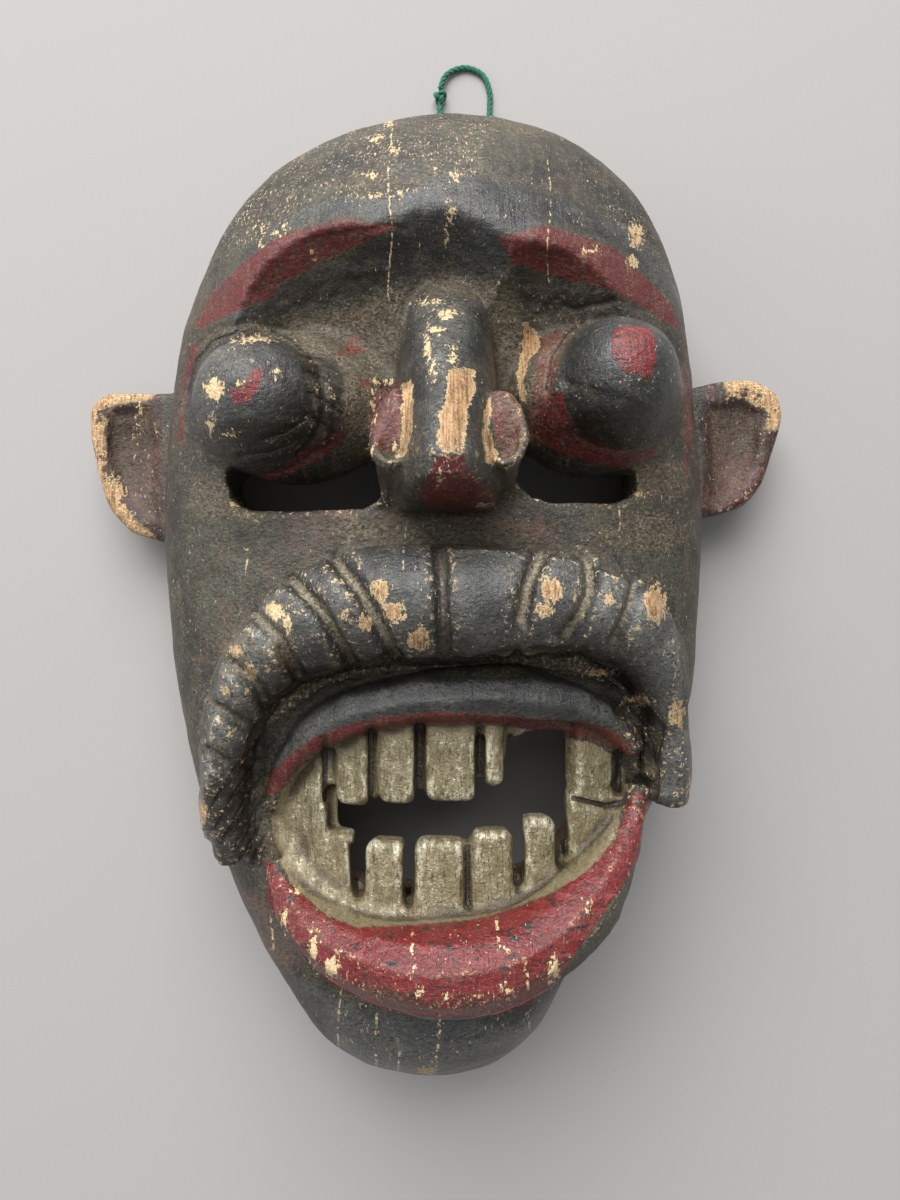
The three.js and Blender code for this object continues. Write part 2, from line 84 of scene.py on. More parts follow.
# Outlines of each zone.
AREAS: dict[Zone, list[Outline]] = {
    Zone.RED: [
        [(272, 864), (291, 884), (328, 916), (358, 927), (402, 925), (439, 923), (476, 919), (513, 908),
         (550, 894), (587, 871), (616, 838), (626, 806), (636, 790), (646, 798), (654, 812), (650, 835),
         (639, 860), (616, 895), (591, 930), (568, 966), (554, 983), (531, 1003), (498, 1016), (432, 1018),
         (387, 1010), (358, 999), (328, 981), (300, 951), (270, 908), (264, 858)],
        [(254, 366), (264, 368), (258, 391), (249, 403), (233, 403), (230, 391), (240, 385), (248, 376)],
        [(612, 330), (624, 325), (649, 328), (655, 341), (655, 366), (648, 382), (635, 375), (621, 369),
         (611, 351)],
        [(346, 336), (352, 338), (357, 335), (365, 343), (362, 352), (348, 356), (344, 347)],
        [(362, 377), (370, 381), (367, 390), (360, 387)],
        [(337, 350), (344, 352), (343, 358), (337, 357)],
    ],
    Zone.DARK_RED: [
        [(194, 330), (206, 301), (231, 275), (253, 255), (278, 237), (303, 228), (328, 223), (346, 219),
         (367, 223), (392, 225), (401, 226), (374, 237), (360, 246), (339, 253), (317, 264), (296, 276),
         (278, 284), (274, 296), (256, 303), (231, 314), (214, 321), (199, 330)],
        [(496, 237), (514, 234), (531, 228), (549, 226), (571, 233), (596, 241), (617, 250), (635, 268),
         (653, 284), (671, 305), (681, 323), (678, 330), (660, 319), (639, 305), (614, 291), (581, 282),
         (556, 276), (539, 271), (514, 266), (506, 251)],
        [(303, 451), (321, 437), (335, 426), (346, 426), (342, 441), (331, 451), (314, 462), (296, 471),
         (267, 483), (239, 479), (246, 475), (274, 473)],
        [(435, 455), (464, 455), (471, 473), (496, 494), (492, 509), (460, 514), (428, 509), (419, 494),
         (431, 473)],
        [(528, 412), (549, 391), (564, 394), (567, 412), (585, 434), (610, 448), (639, 453), (660, 444),
         (653, 459), (624, 468), (589, 462), (556, 451), (531, 437)],
        [(266, 796), (269, 777), (287, 757), (313, 738), (343, 727), (376, 718), (417, 713), (461, 712),
         (506, 716), (550, 720), (587, 723), (616, 733), (633, 744), (633, 757), (616, 749), (587, 739),
         (550, 733), (506, 726), (461, 723), (417, 726), (380, 731), (343, 739), (321, 749), (302, 762),
         (291, 775), (278, 794)],
    ],
    Zone.MAROON: [
        [(88, 392), (166, 392), (166, 545), (150, 545), (118, 525), (96, 480), (88, 430)],
        [(698, 384), (780, 384), (780, 440), (760, 500), (735, 528), (698, 528)],
        [(374, 394), (383, 382), (398, 380), (406, 389), (406, 430), (399, 451), (383, 453), (371, 441),
         (369, 416)],
        [(492, 394), (503, 387), (517, 394), (524, 416), (522, 441), (514, 459), (501, 455), (494, 430)],
        [(542, 337), (567, 326), (574, 330), (560, 351), (555, 380), (546, 394), (531, 412), (533, 380)],
        [(684, 330), (692, 360), (694, 430), (688, 480), (682, 470), (684, 400), (680, 345)],
        [(190, 345), (200, 345), (192, 380), (184, 410), (184, 450), (178, 440), (180, 380)],
    ],
    Zone.BLUSH: [
        [(296, 504), (350, 510), (404, 516), (400, 534), (340, 542), (300, 560), (280, 540)],
        [(496, 512), (540, 518), (566, 540), (520, 545), (488, 530)],
        [(205, 880), (262, 890), (300, 960), (290, 980), (240, 930)],
    ],
    Zone.EDGE: [
        [(84, 384), (164, 384), (150, 400), (112, 404), (104, 440), (114, 480), (136, 522), (160, 540),
         (160, 552), (110, 552), (84, 480)],
        [(724, 378), (788, 378), (788, 430), (766, 428), (758, 404), (726, 394)],
    ],
    Zone.SILVER: [
        [(276, 853), (272, 816), (280, 794), (302, 766), (343, 742), (387, 729), (461, 724), (513, 727),
         (550, 735), (591, 742), (616, 757), (629, 779), (622, 801), (616, 838), (587, 871), (550, 894),
         (513, 908), (476, 919), (439, 923), (402, 925), (358, 927), (328, 916), (291, 884)],
    ],
    Zone.COOL: [
        [(202, 838), (197, 801), (202, 757), (210, 705), (219, 661), (239, 631), (269, 594), (302, 568),
         (346, 548), (402, 542), (461, 546), (513, 548), (579, 557), (620, 574), (650, 590), (676, 620),
         (685, 668), (687, 727), (692, 742), (692, 786), (683, 805), (657, 803), (657, 757), (661, 727),
         (639, 694), (616, 668), (579, 649), (513, 649), (469, 659), (402, 659), (343, 668), (302, 679),
         (272, 701), (250, 738), (247, 779), (260, 838), (261, 868), (232, 857)],
        [(239, 779), (254, 742), (291, 712), (328, 686), (372, 677), (439, 675), (513, 675), (579, 677),
         (616, 686), (616, 727), (587, 723), (550, 720), (506, 716), (461, 712), (417, 713), (376, 718),
         (343, 727), (313, 738), (287, 757), (269, 777)],
        [(404, 300), (430, 296), (460, 297), (484, 303), (492, 340), (498, 380), (480, 400), (482, 440),
         (470, 470), (430, 470), (416, 430), (412, 390), (400, 372)],
        [(291, 975), (328, 990), (358, 1005), (402, 1018), (498, 1018), (535, 1005), (557, 982),
         (554, 1016), (528, 1053), (476, 1075), (432, 1079), (380, 1075), (343, 1053), (313, 1016)],
        [(228, 318), (262, 301), (282, 287), (320, 268), (345, 257), (385, 243), (400, 215), (450, 190),
         (500, 215), (505, 268), (495, 292), (450, 286), (405, 296), (385, 285), (330, 300), (270, 320),
         (235, 330)],
        [(236, 262), (262, 234), (300, 210), (345, 198), (400, 196), (450, 172), (500, 180), (560, 198),
         (620, 224), (662, 262), (692, 312), (684, 312), (655, 280), (620, 246), (560, 222), (515, 228),
         (450, 190), (400, 218), (345, 214), (303, 222), (262, 244)],
    ],
    Zone.WOOD: [
        [(448, 369), (474, 368), (476, 391), (468, 409), (466, 437), (460, 455), (442, 453), (437, 444),
         (439, 416), (446, 394)],
        [(524, 321), (539, 334), (540, 348), (530, 359), (524, 380), (526, 401), (519, 400), (517, 373),
         (521, 351), (522, 334)],
        [(401, 384), (412, 380), (414, 398), (412, 430), (406, 455), (394, 460), (400, 444), (402, 412)],
        [(483, 409), (491, 396), (493, 409), (489, 430), (498, 454), (494, 468), (486, 462), (483, 437)],
    ],
    Zone.DUST: [
        [(302, 683), (343, 670), (402, 662), (469, 662), (513, 653), (579, 653), (616, 672), (657, 727),
         (657, 779), (631, 775), (620, 727), (616, 686), (579, 677), (513, 675), (439, 674), (372, 675),
         (328, 686), (291, 712), (254, 742), (250, 779), (269, 838), (260, 864), (247, 816), (250, 742),
         (272, 701)],
        [(390, 290), (450, 262), (510, 290), (530, 330), (520, 400), (530, 470), (505, 512), (500, 380),
         (484, 300), (450, 290), (410, 300), (395, 372), (376, 380), (330, 340), (290, 330), (300, 320)],
        [(330, 505), (380, 520), (450, 525), (520, 515), (560, 545), (450, 545), (340, 548)],
        [(200, 335), (250, 320), (300, 322), (340, 345), (375, 385), (366, 440), (345, 455), (330, 400),
         (300, 350), (250, 330)],
        [(560, 330), (600, 306), (650, 318), (676, 345), (640, 312), (600, 312), (570, 340), (552, 390),
         (530, 440), (520, 430), (530, 360)],
        [(188, 470), (240, 488), (246, 512), (300, 520), (240, 528), (195, 505)],
        [(625, 470), (672, 430), (680, 470), (650, 505), (560, 512), (628, 498)],
    ],
    # Dark gashes: scraped wood at the left moustache end and beside the left eye; painted shade under the
    # brows and in the right moustache end.
    Zone.GASH_AND_SHADE: [
        [(203, 790), (222, 770), (245, 752), (262, 800), (262, 868), (228, 852), (203, 830)],
        [(262, 304), (320, 280), (380, 262), (392, 284), (330, 300), (270, 318)],
        [(516, 290), (560, 290), (620, 296), (650, 312), (600, 304), (556, 312), (530, 316)],
        [(303, 352), (330, 356), (345, 372), (343, 430), (318, 452), (308, 430), (312, 390)],
        [(590, 664), (628, 672), (655, 712), (660, 760), (640, 770), (622, 730), (600, 690)],
    ],
    Zone.FLECK: [
        [(212, 262), (226, 205), (270, 150), (330, 118), (420, 106), (500, 116), (480, 190), (410, 205),
         (330, 215), (270, 240)],
        [(196, 840), (200, 720), (232, 640), (262, 600), (300, 620), (262, 690), (238, 750), (214, 846)],
        [(405, 296), (470, 298), (478, 330), (450, 372), (426, 392), (415, 350)],
        [(610, 190), (660, 240), (690, 320), (676, 320), (640, 262), (600, 220)],
        [(192, 360), (215, 345), (240, 345), (222, 400), (232, 440), (205, 440)],
        [(310, 985), (400, 1022), (520, 1018), (556, 990), (530, 1050), (400, 1078), (340, 1050)],
        [(560, 590), (640, 580), (680, 640), (686, 740), (650, 690), (600, 650)],
        [(285, 925), (330, 968), (400, 992), (470, 998), (530, 984), (572, 948), (554, 985), (498, 1016),
         (432, 1018), (358, 999), (300, 951)],
    ],
}

# Middles and half sizes of spots that are roughly oval: worn or dirty ones, the eyes' cool paint, and
# painted shade on the eyes' lower halves.
SPOTS: dict[Zone, list[tuple[float, float, float, float]]] = {
    Zone.CHIP: [
        (380, 590, 10, 12), (394, 612, 12, 12), (420, 640, 12, 13), (365, 622, 8, 9), (552, 590, 12, 13),
        (545, 610, 8, 8), (610, 600, 5, 5), (655, 604, 12, 20), (677, 715, 7, 16), (250, 672, 7, 9),
        (202, 815, 5, 18), (428, 1071, 9, 5), (112, 492, 13, 18), (98, 402, 8, 10), (120, 520, 10, 8),
        (764, 400, 12, 8), (636, 235, 7, 13), (632, 262, 6, 8), (642, 700, 12, 5),
        (600, 672, 16, 4), (771, 412, 4, 14), (92, 435, 4, 30), (236, 652, 8, 7), (226, 690, 6, 6),
        (690, 790, 4, 10), (346, 615, 5, 6), (268, 668, 4, 4), (450, 213, 4, 14), (448, 236, 3, 8),
    ],
    Zone.CREAM: [
        (214, 390, 11, 13), (277, 373, 5, 4), (240, 382, 4, 4), (211, 425, 4, 8), (230, 432, 8, 4),
        (254, 339, 14, 3), (242, 343, 8, 2), (430, 302, 14, 3), (446, 314, 11, 5), (436, 330, 9, 5),
        (428, 348, 4, 18), (432, 366, 3, 12), (452, 356, 4, 12), (455, 177, 5, 6), (590, 250, 8, 3),
        (276, 611, 12, 9), (288, 622, 6, 10), (416, 915, 12, 3), (301, 891, 10, 5), (313, 945, 5, 16),
        (285, 920, 3, 10), (333, 968, 8, 10), (505, 948, 4, 4), (553, 968, 5, 12), (420, 992, 5, 8),
        (505, 988, 5, 5), (448, 996, 7, 4), (476, 996, 4, 3), (373, 400, 2.5, 16), (386, 381, 9, 2.5),
        (440, 475, 3, 8), (395, 446, 4, 4), (588, 905, 3, 8), (372, 450, 3, 6), (388, 122, 6, 5),
        (370, 175, 7, 5), (276, 234, 6, 3), (262, 240, 3, 5), (310, 255, 4, 4), (137, 412, 4, 16),
        (275, 499, 22, 2.5), (330, 500, 16, 2), (236, 503, 6, 4), (640, 494, 12, 2.5), (484, 505, 7, 3),
        (600, 500, 10, 2), (376, 138, 6, 3), (395, 150, 3, 6), (352, 130, 3, 4), (312, 142, 3, 5),
        (436, 168, 3, 3), (400, 192, 3, 7), (372, 196, 8, 2), (286, 228, 2.5, 6), (262, 226, 6, 2),
    ],
    Zone.COOL: [(256, 402, 72, 68), (620, 380, 66, 69)],
    # Painted shade on the lower halves of the two eyes.
    Zone.GASH_AND_SHADE: [(256, 440, 60, 22), (620, 425, 55, 20)],
    Zone.DUST: [(540, 122, 70, 16), (236, 652, 18, 26), (148, 460, 16, 66), (730, 450, 24, 44),
                (212, 498, 26, 22), (674, 480, 18, 24), (640, 530, 60, 22), (280, 650, 16, 20)],
}

# Vertical cracks and runs where the pale ground shows: across, top, bottom, half width.
RUNS = [
    (390, 112, 300, 0.8), (549, 160, 285, 0.7), (340, 990, 1052, 0.8), (377, 1014, 1066, 1.3),
    (438, 1016, 1066, 1.2), (530, 1008, 1030, 0.9), (414, 932, 975, 1.6),
    (405, 524, 572, 0.8), (618, 502, 540, 0.8), (246, 548, 572, 0.9), (272, 918, 950, 1.1),
    (400, 1052, 1072, 1.1), (527, 962, 990, 1.6), (498, 918, 942, 1.6),
]

# Grooves between the lobes of the moustache: their middles, half widths and strengths.
LOBE_GROOVES = [
    ([(337, 561), (364, 597), (397, 655)], 5.0, 1.0),
    ([(293, 581), (324, 613), (351, 659)], 5.0, 1.0),
    ([(257, 617), (279, 637), (299, 675)], 5.5, 0.9),
    ([(235, 664), (257, 686), (264, 700)], 4.0, 0.7),
    ([(217, 706), (241, 722)], 4.0, 0.6),
    ([(210, 749), (223, 762)], 4.0, 0.6),
    ([(440, 554), (444, 641)], 3.0, 0.35),
    ([(541, 556), (527, 585), (521, 619)], 6.0, 0.9),
    ([(588, 564), (590, 589), (580, 615), (566, 633)], 5.0, 1.0),
    ([(634, 585), (628, 607), (614, 639)], 4.0, 0.7),
]

# Knife cuts: their lines, half widths and depths in millimetres.
KNIFE_CUTS = [
    ([(300, 340), (318, 362), (326, 400), (320, 432), (300, 455)], 3.0, 0.8),
    ([(568, 384), (600, 392), (643, 408)], 5.0, 0.5),
    ([(330, 236), (390, 226), (405, 232)], 2.0, 0.6),
    ([(556, 300), (575, 312), (590, 306), (620, 300), (650, 312)], 3.0, 0.9),
    ([(195, 350), (215, 330), (250, 322), (290, 330), (312, 345)], 3.0, 0.9),
    ([(215, 468), (250, 478), (290, 470), (320, 452)], 3.0, 0.7),
]

# Strokes of the gouge in the moustache's ragged ends and beside the left eye.
STROKES: list[Outline] = [
    [(258, 742), (232, 772), (212, 806)], [(260, 756), (236, 790), (216, 828)],
    [(262, 776), (240, 808), (222, 842)], [(264, 796), (246, 826), (232, 852)],
    [(264, 816), (252, 840), (242, 858)], [(266, 834), (258, 850), (252, 866)],
    [(592, 668), (618, 690), (636, 716)], [(600, 664), (632, 690), (650, 724)],
    [(612, 700), (634, 732), (646, 762)], [(640, 716), (652, 744), (656, 766)],
    [(300, 356), (320, 360), (340, 372)], [(306, 372), (328, 380), (342, 394)],
    [(308, 392), (326, 402), (342, 414)], [(306, 414), (322, 424), (332, 434)],
    [(262, 440), (284, 434), (306, 420)], [(240, 456), (272, 452), (300, 440)],
    [(188, 392), (196, 362), (212, 342), (238, 331)], [(270, 330), (292, 340), (304, 352)],
    [(546, 392), (552, 356), (566, 334), (586, 320)],
]

# Furrows that part the teeth where no gap goes through; they are also painted dark as shade.
TOOTH_LINES: list[Outline] = [
    [(325, 740), (325, 800)], [(371, 730), (371, 806)], [(420, 728), (419, 806)], [(480, 730), (480, 792)],
    [(511, 736), (512, 760)], [(352, 846), (357, 892)], [(408, 850), (408, 902)], [(467, 846), (468, 904)],
    [(519, 838), (519, 880)], [(561, 822), (563, 852)], [(620, 752), (618, 792)],
    [(573, 798), (606, 806), (624, 802)],
]

# The dished faces of the two ears.
EAR_DISHES: list[Outline] = [
    [(106, 408), (150, 404), (158, 440), (158, 520), (140, 520), (120, 500), (106, 450)],
    [(706, 404), (742, 398), (764, 412), (760, 450), (744, 490), (730, 512), (708, 516)],
]

# What is carved in detail; all round it the wood is evenly rounded.
DETAILED: list[Outline] = [
    [(186, 330), (226, 258), (290, 222), (340, 202), (400, 208), (450, 178), (500, 208), (560, 212),
     (622, 236), (664, 276), (694, 330), (700, 440), (694, 500), (650, 532), (560, 538), (340, 538),
     (230, 538), (176, 500), (174, 400)],
    [(236, 600), (316, 540), (560, 534), (655, 566), (702, 636), (706, 800), (668, 866), (606, 966),
     (520, 1030), (400, 1030), (296, 980), (216, 886), (184, 806), (196, 700)],
]

# Where the knife left soft passages: beside the eyes and above the nose.
SOFT_PASSAGES: list[Outline] = [
    [(300, 325), (345, 330), (392, 375), (385, 440), (350, 466), (322, 440), (330, 390), (315, 350)],
    [(560, 300), (538, 325), (522, 380), (527, 430), (556, 460), (600, 474), (592, 450), (560, 425),
     (552, 380), (562, 335)],
    [(385, 175), (450, 160), (515, 175), (530, 230), (505, 275), (450, 262), (395, 275), (375, 230)],
]

# Plugs that fill up the deep middles of the nostrils: middles, half sizes, turns about Y.
NOSTRIL_FLOORS = [
    ((-12.4, 51.0, 117.5), (8.0, 13.4, 6.5), -0.25),
    ((21.6, 50.8, 117.0), (7.6, 12.6, 6.5), 0.25),
]

# Gaps between the teeth in millimetres: across, lower end, upper end, width, back, front.
TOOTH_GAPS = [
    (-26.7, -103.0, -78.0, 3.8, 50, 100), (-8.5, -106.0, -78.0, 3.3, 50, 100),
    (12.0, -106.0, -78.0, 2.6, 50, 100), (29.5, -98.0, -72.0, 3.3, 50, 100),
    (45.2, -88.0, -66.0, 3.4, 50, 100), (-37.0, -86.0, -68.0, 3.0, 50, 100),
    (-37.0, -72.0, -54.0, 2.7, 83, 100), (-21.0, -76.0, -48.0, 2.8, 83, 100),
    (-4.7, -75.0, -46.0, 3.4, 83, 100), (16.0, -72.0, -50.0, 2.9, 83, 100),
]

# The soft square lights: names, places and sizes in metres, powers in watts.
LAMPS = [
    ("top_light", (-0.2, 1.15, 1.05), 1.2, 26.0),
    ("front_light", (0.1, -0.3, 1.9), 1.4, 3.0),
    ("side_light", (-1.2, 0.2, 0.8), 1.0, 5.0),
]
LAMP_AIM = (0.0, 0.0, 0.05)

# Chance unevenness of the cut wood: height and size in millimetres, seed.
UNEVENNESS = [(0.55, 24.0, 3.0), (0.30, 9.0, 11.0), (0.12, 4.0, 5.0)]


def deselect() -> None:
    """Leaves nothing selected and no mode open."""
    if bpy.context.object is not None and bpy.context.object.mode != "OBJECT":
        bpy.ops.object.mode_set(mode="OBJECT")
    bpy.ops.object.select_all(action="DESELECT")


def activate(piece: bpy.types.Object) -> None:
    """Selects one piece and makes it the active one.

    Args:
        piece: the piece.
    """
    deselect()
    piece.select_set(True)
    bpy.context.view_layer.objects.active = piece


def linked(name: str, data: bpy.types.ID) -> bpy.types.Object:
    """A new object in the scene that holds some data.

    Args:
        name: its name.
        data: a mesh, curve, light or camera.

    Returns:
        The new object, at the origin.
    """
    piece = bpy.data.objects.new(name, data)
    bpy.context.scene.collection.objects.link(piece)
    return piece


def join(pieces: list[bpy.types.Object]) -> bpy.types.Object:
    """Joins pieces into the first of them.

    Args:
        pieces: at least one piece.

    Returns:
        The first piece, which now holds all.
    """
    activate(pieces[0])
    for piece in pieces[1:]:
        piece.select_set(True)
    bpy.ops.object.join()
    return pieces[0]


def copy_of(node: str, name: str) -> bpy.types.Object:
    """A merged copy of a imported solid, to be worked on.

    Args:
        node: the solid's name.
        name: the new piece's name.

    Returns:
        The new piece, at the origin.
    """
    piece = linked(name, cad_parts[node].data.copy())
    piece.data.materials.clear()
    activate(piece)
    bpy.ops.object.mode_set(mode="EDIT")
    bpy.ops.mesh.select_all(action="SELECT")
    bpy.ops.mesh.remove_doubles(threshold=0.01 * MM)
    bpy.ops.object.mode_set(mode="OBJECT")
    return piece


def apply_modifier(piece: bpy.types.Object, kind: str, **settings: object) -> None:
    """Adds a modifier to a piece, sets it and applies it.

    Args:
        piece: the piece.
        kind: the modifier's type.
        settings: its settings by name.
    """
    activate(piece)
    modifier = piece.modifiers.new(kind.title(), kind)
    for key, value in settings.items():
        setattr(modifier, key, value)
    bpy.ops.object.modifier_apply(modifier=modifier.name)


def ease(value: np.ndarray, low: float, high: float) -> np.ndarray:
    """A smooth step from 0 at low to 1 at high, either way round."""
    share = np.clip((value - low) / (high - low), 0.0, 1.0)
    return share * share * (3.0 - 2.0 * share)


def outline_depth(points: np.ndarray, outline: Outline) -> np.ndarray:
    """How far points lie inside an outline, negative outside.

    Args:
        points: places in the view, one row each.
        outline: the closed outline's corners in order.

    Returns:
        One distance per point, in the view's units.
    """
    corners = np.asarray(outline, float)
    ends = np.roll(corners, -1, axis=0)
    nearest = np.full(len(points), np.inf)
    inside = np.zeros(len(points), bool)
    x, y = points[:, 0], points[:, 1]
    for start, end in zip(corners, ends):
        along = end - start
        share = np.clip(((points - start) @ along) / max(along @ along, 1e-9), 0, 1)
        nearest = np.minimum(nearest, np.linalg.norm(points - start - share[:, None] * along, axis=1))
        if start[1] != end[1]:
            crossing = (start[1] > y) != (end[1] > y)
            inside ^= crossing & (x < along[0] * (y - start[1]) / along[1] + start[0])
    return np.where(inside, nearest, -nearest)


def line_gap(points: np.ndarray, line: Outline) -> np.ndarray:
    """How far points lie from an open line, in the view's units.

    Args:
        points: places in the view, one row each.
        line: the line's points in order.

    Returns:
        One distance per point.
    """
    nearest = np.full(len(points), np.inf)
    for start, end in zip(np.asarray(line[:-1], float), np.asarray(line[1:], float)):
        along = end - start
        share = np.clip(((points - start) @ along) / (along @ along), 0, 1)
        nearest = np.minimum(nearest, np.linalg.norm(points - start - share[:, None] * along, axis=1))
    return nearest


def furrow(points: np.ndarray, line: Outline, half: float) -> np.ndarray:
    """The profile of a furrow along a line: 1 in its middle, fading over its half width."""
    return np.exp(-((line_gap(points, line) / half) ** 2))


class Clay:
    """A mesh's points as arrays, to be smoothed, carved and read."""

    def __init__(self, piece: bpy.types.Object) -> None:
        """Reads the places and the neighbours of a piece's points.

        Args:
            piece: a piece with a mesh.
        """
        self.piece = piece
        mesh = piece.data
        self.total = len(mesh.vertices)
        flat = np.empty(self.total * 3)
        mesh.vertices.foreach_get("co", flat)
        self.places = flat.reshape(-1, 3)
        edges = np.empty(len(mesh.edges) * 2, np.int32)
        mesh.edges.foreach_get("vertices", edges)
        edges = edges.reshape(-1, 2)
        self.near = np.concatenate((edges[:, 0], edges[:, 1]))
        self.far = np.concatenate((edges[:, 1], edges[:, 0]))
        self.links = np.maximum(np.bincount(self.near, minlength=self.total), 1)

    def mean(self, values: np.ndarray) -> np.ndarray:
        """The mean of each point's neighbours, for one or more columns of values.

        Args:
            values: one number, or one row of numbers, per point.

        Returns:
            The means, shaped as the values are.
        """
        columns = values if values.ndim == 2 else values[:, None]
        summed = [np.bincount(self.near, column[self.far], self.total) for column in columns.T]
        return (np.stack(summed, axis=1) / self.links[:, None]).reshape(values.shape)

    def store(self) -> None:
        """Writes the places back to the mesh."""
        self.piece.data.vertices.foreach_set("co", self.places.ravel())
        self.piece.data.update()

    def normals(self) -> np.ndarray:
        """The outward direction at each point.

        Returns:
            One row of three numbers per point.
        """
        self.store()
        flat = np.empty(self.total * 3)
        self.piece.data.vertices.foreach_get("normal", flat)
        return flat.reshape(-1, 3)

    def smooth(self, weight: np.ndarray, rounds: int, full: bool = True) -> None:
        """Evens out the surface.

        Args:
            weight: 1 where a point moves freely, 0 where it stays.
            rounds: how often it is done.
            full: whether the surface is kept from shrinking.
        """
        for _ in range(rounds):
            for step in (SHRINK, GROW) if full else (SHRINK,):
                self.places += step * weight[:, None] * (self.mean(self.places) - self.places)

    def creases(self, low: float, high: float, spread: int) -> np.ndarray:
        """Where the surface turns sharply, from 0 to 1.

        Args:
            low: the turn between neighbours, in degrees, that still counts as flat.
            high: the turn that counts as a full crease.
            spread: how many neighbours further it reaches.

        Returns:
            One number per point.
        """
        normals = self.normals()
        cosine = np.einsum("ij,ij->i", normals[self.near], normals[self.far])
        turn = np.degrees(np.arccos(np.clip(cosine, -1, 1)))
        sharpest = np.zeros(self.total)
        np.maximum.at(sharpest, self.near, turn)
        sharp = ease(sharpest, low, high)
        for _ in range(spread):
            grown = sharp.copy()
            np.maximum.at(grown, self.near, sharp[self.far])
            sharp = grown
        return sharp

    def relief(self, rounds: int) -> np.ndarray:
        """How far each point stands proud of its surroundings, negative in hollows, in millimetres.

        Args:
            rounds: how often the surroundings are evened out, so how wide they are.

        Returns:
            One height per point.
        """
        even = self.places.copy()
        for _ in range(rounds):
            even += RELIEF_STEP * (self.mean(even) - even)
        return np.einsum("ij,ij->i", self.places - even, self.normals()) / MM

    def view(self) -> np.ndarray:
        """Each point's place in the straight view down on the face.

        Returns:
            Across and down, one row per point.
        """
        away = np.maximum(VIEW_POINT[2] - self.places[:, 2], NEAREST)
        across = VIEW_CENTRE[0] + (self.places[:, 0] - VIEW_POINT[0]) * VIEW_FOCUS / away
        down = VIEW_CENTRE[1] - (self.places[:, 1] - VIEW_POINT[1]) * VIEW_FOCUS / away
        return np.stack((across, down), axis=1)

    def push(self, depth: np.ndarray) -> None:
        """Moves the surface out along its own direction by millimetres, in where negative."""
        self.places += self.normals() * depth[:, None] * MM

    def within(self, outlines: list[Outline], low: float, high: float) -> np.ndarray:
        """How much each point lies inside any of some outlines: 0 at depth low, 1 at depth high.

        Args:
            outlines: closed outlines in the view, at least one.
            low: how far inside it begins, negative for outside.
            high: how far inside it is full.

        Returns:
            One share per point.
        """
        view = self.view()
        return np.max([ease(outline_depth(view, outline), low, high) for outline in outlines], axis=0)

    def waves(self, size: float, seed: float) -> np.ndarray:
        """Smooth chance bumps from -1 to 1 of a size in millimetres."""
        scaled = self.places / (size * MM) + seed
        return np.array([noise.noise(Vector(place)) for place in scaled])

    def facets(self, size: float, seed: float) -> np.ndarray:
        """The flat bites of a knife: 0 in the middle of a bite, about 1 at its edges."""
        scaled = self.places / (size * MM) + seed
        return np.array([noise.voronoi(Vector(place))[0][0] for place in scaled])

    def keep(self, name: str, values: np.ndarray) -> None:
        """Stores one number per point for the finish to read."""
        attribute = self.piece.data.attributes.new(name, "FLOAT", "POINT")
        attribute.data.foreach_set("value", values.astype(np.float32))


class Wire:
    """A number in a material, which adds, multiplies and compares as numbers do."""

    def __init__(self, shader: "Shader", socket: bpy.types.NodeSocket) -> None:
        """Keeps the socket and the shader that it belongs to."""
        self.shader = shader
        self.socket = socket

    def _math(self, operation: str, *values: "Wire | float") -> "Wire":
        """One Math node on these values."""
        node = self.shader.node("ShaderNodeMath", {"operation": operation}, dict(enumerate(values)))
        return Wire(self.shader, node.outputs[0])

    def __add__(self, other: "Wire | float") -> "Wire":
        """The sum."""
        return self._math("ADD", self, other)

    __radd__ = __add__

    def __sub__(self, other: "Wire | float") -> "Wire":
        """The difference."""
        return self._math("SUBTRACT", self, other)

    def __rsub__(self, other: "Wire | float") -> "Wire":
        """The difference the other way round."""
        return self._math("SUBTRACT", other, self)

    def __mul__(self, other: "Wire | float") -> "Wire":
        """The product."""
        return self._math("MULTIPLY", self, other)

    __rmul__ = __mul__

    def above(self, low: float, high: float) -> "Wire":
        """A smooth step from 0 at low to 1 at high."""
        node = self.shader.node(
            "ShaderNodeMapRange",
            {"interpolation_type": "SMOOTHSTEP"},
            {"Value": self, "From Min": low, "From Max": high},
        )
        return Wire(self.shader, node.outputs["Result"])

    def below(self, low: float, high: float) -> "Wire":
        """A smooth step from 1 at low to 0 at high."""
        return 1.0 - self.above(low, high)

    def most(self, other: "Wire | float") -> "Wire":
        """The larger of two."""
        return self._math("MAXIMUM", self, other)

    def least(self, other: "Wire | float") -> "Wire":
        """The smaller of two."""
        return self._math("MINIMUM", self, other)

    def size(self) -> "Wire":
        """The number without its sign."""
        return self._math("ABSOLUTE", self)


Tone = tuple[float, float, float]


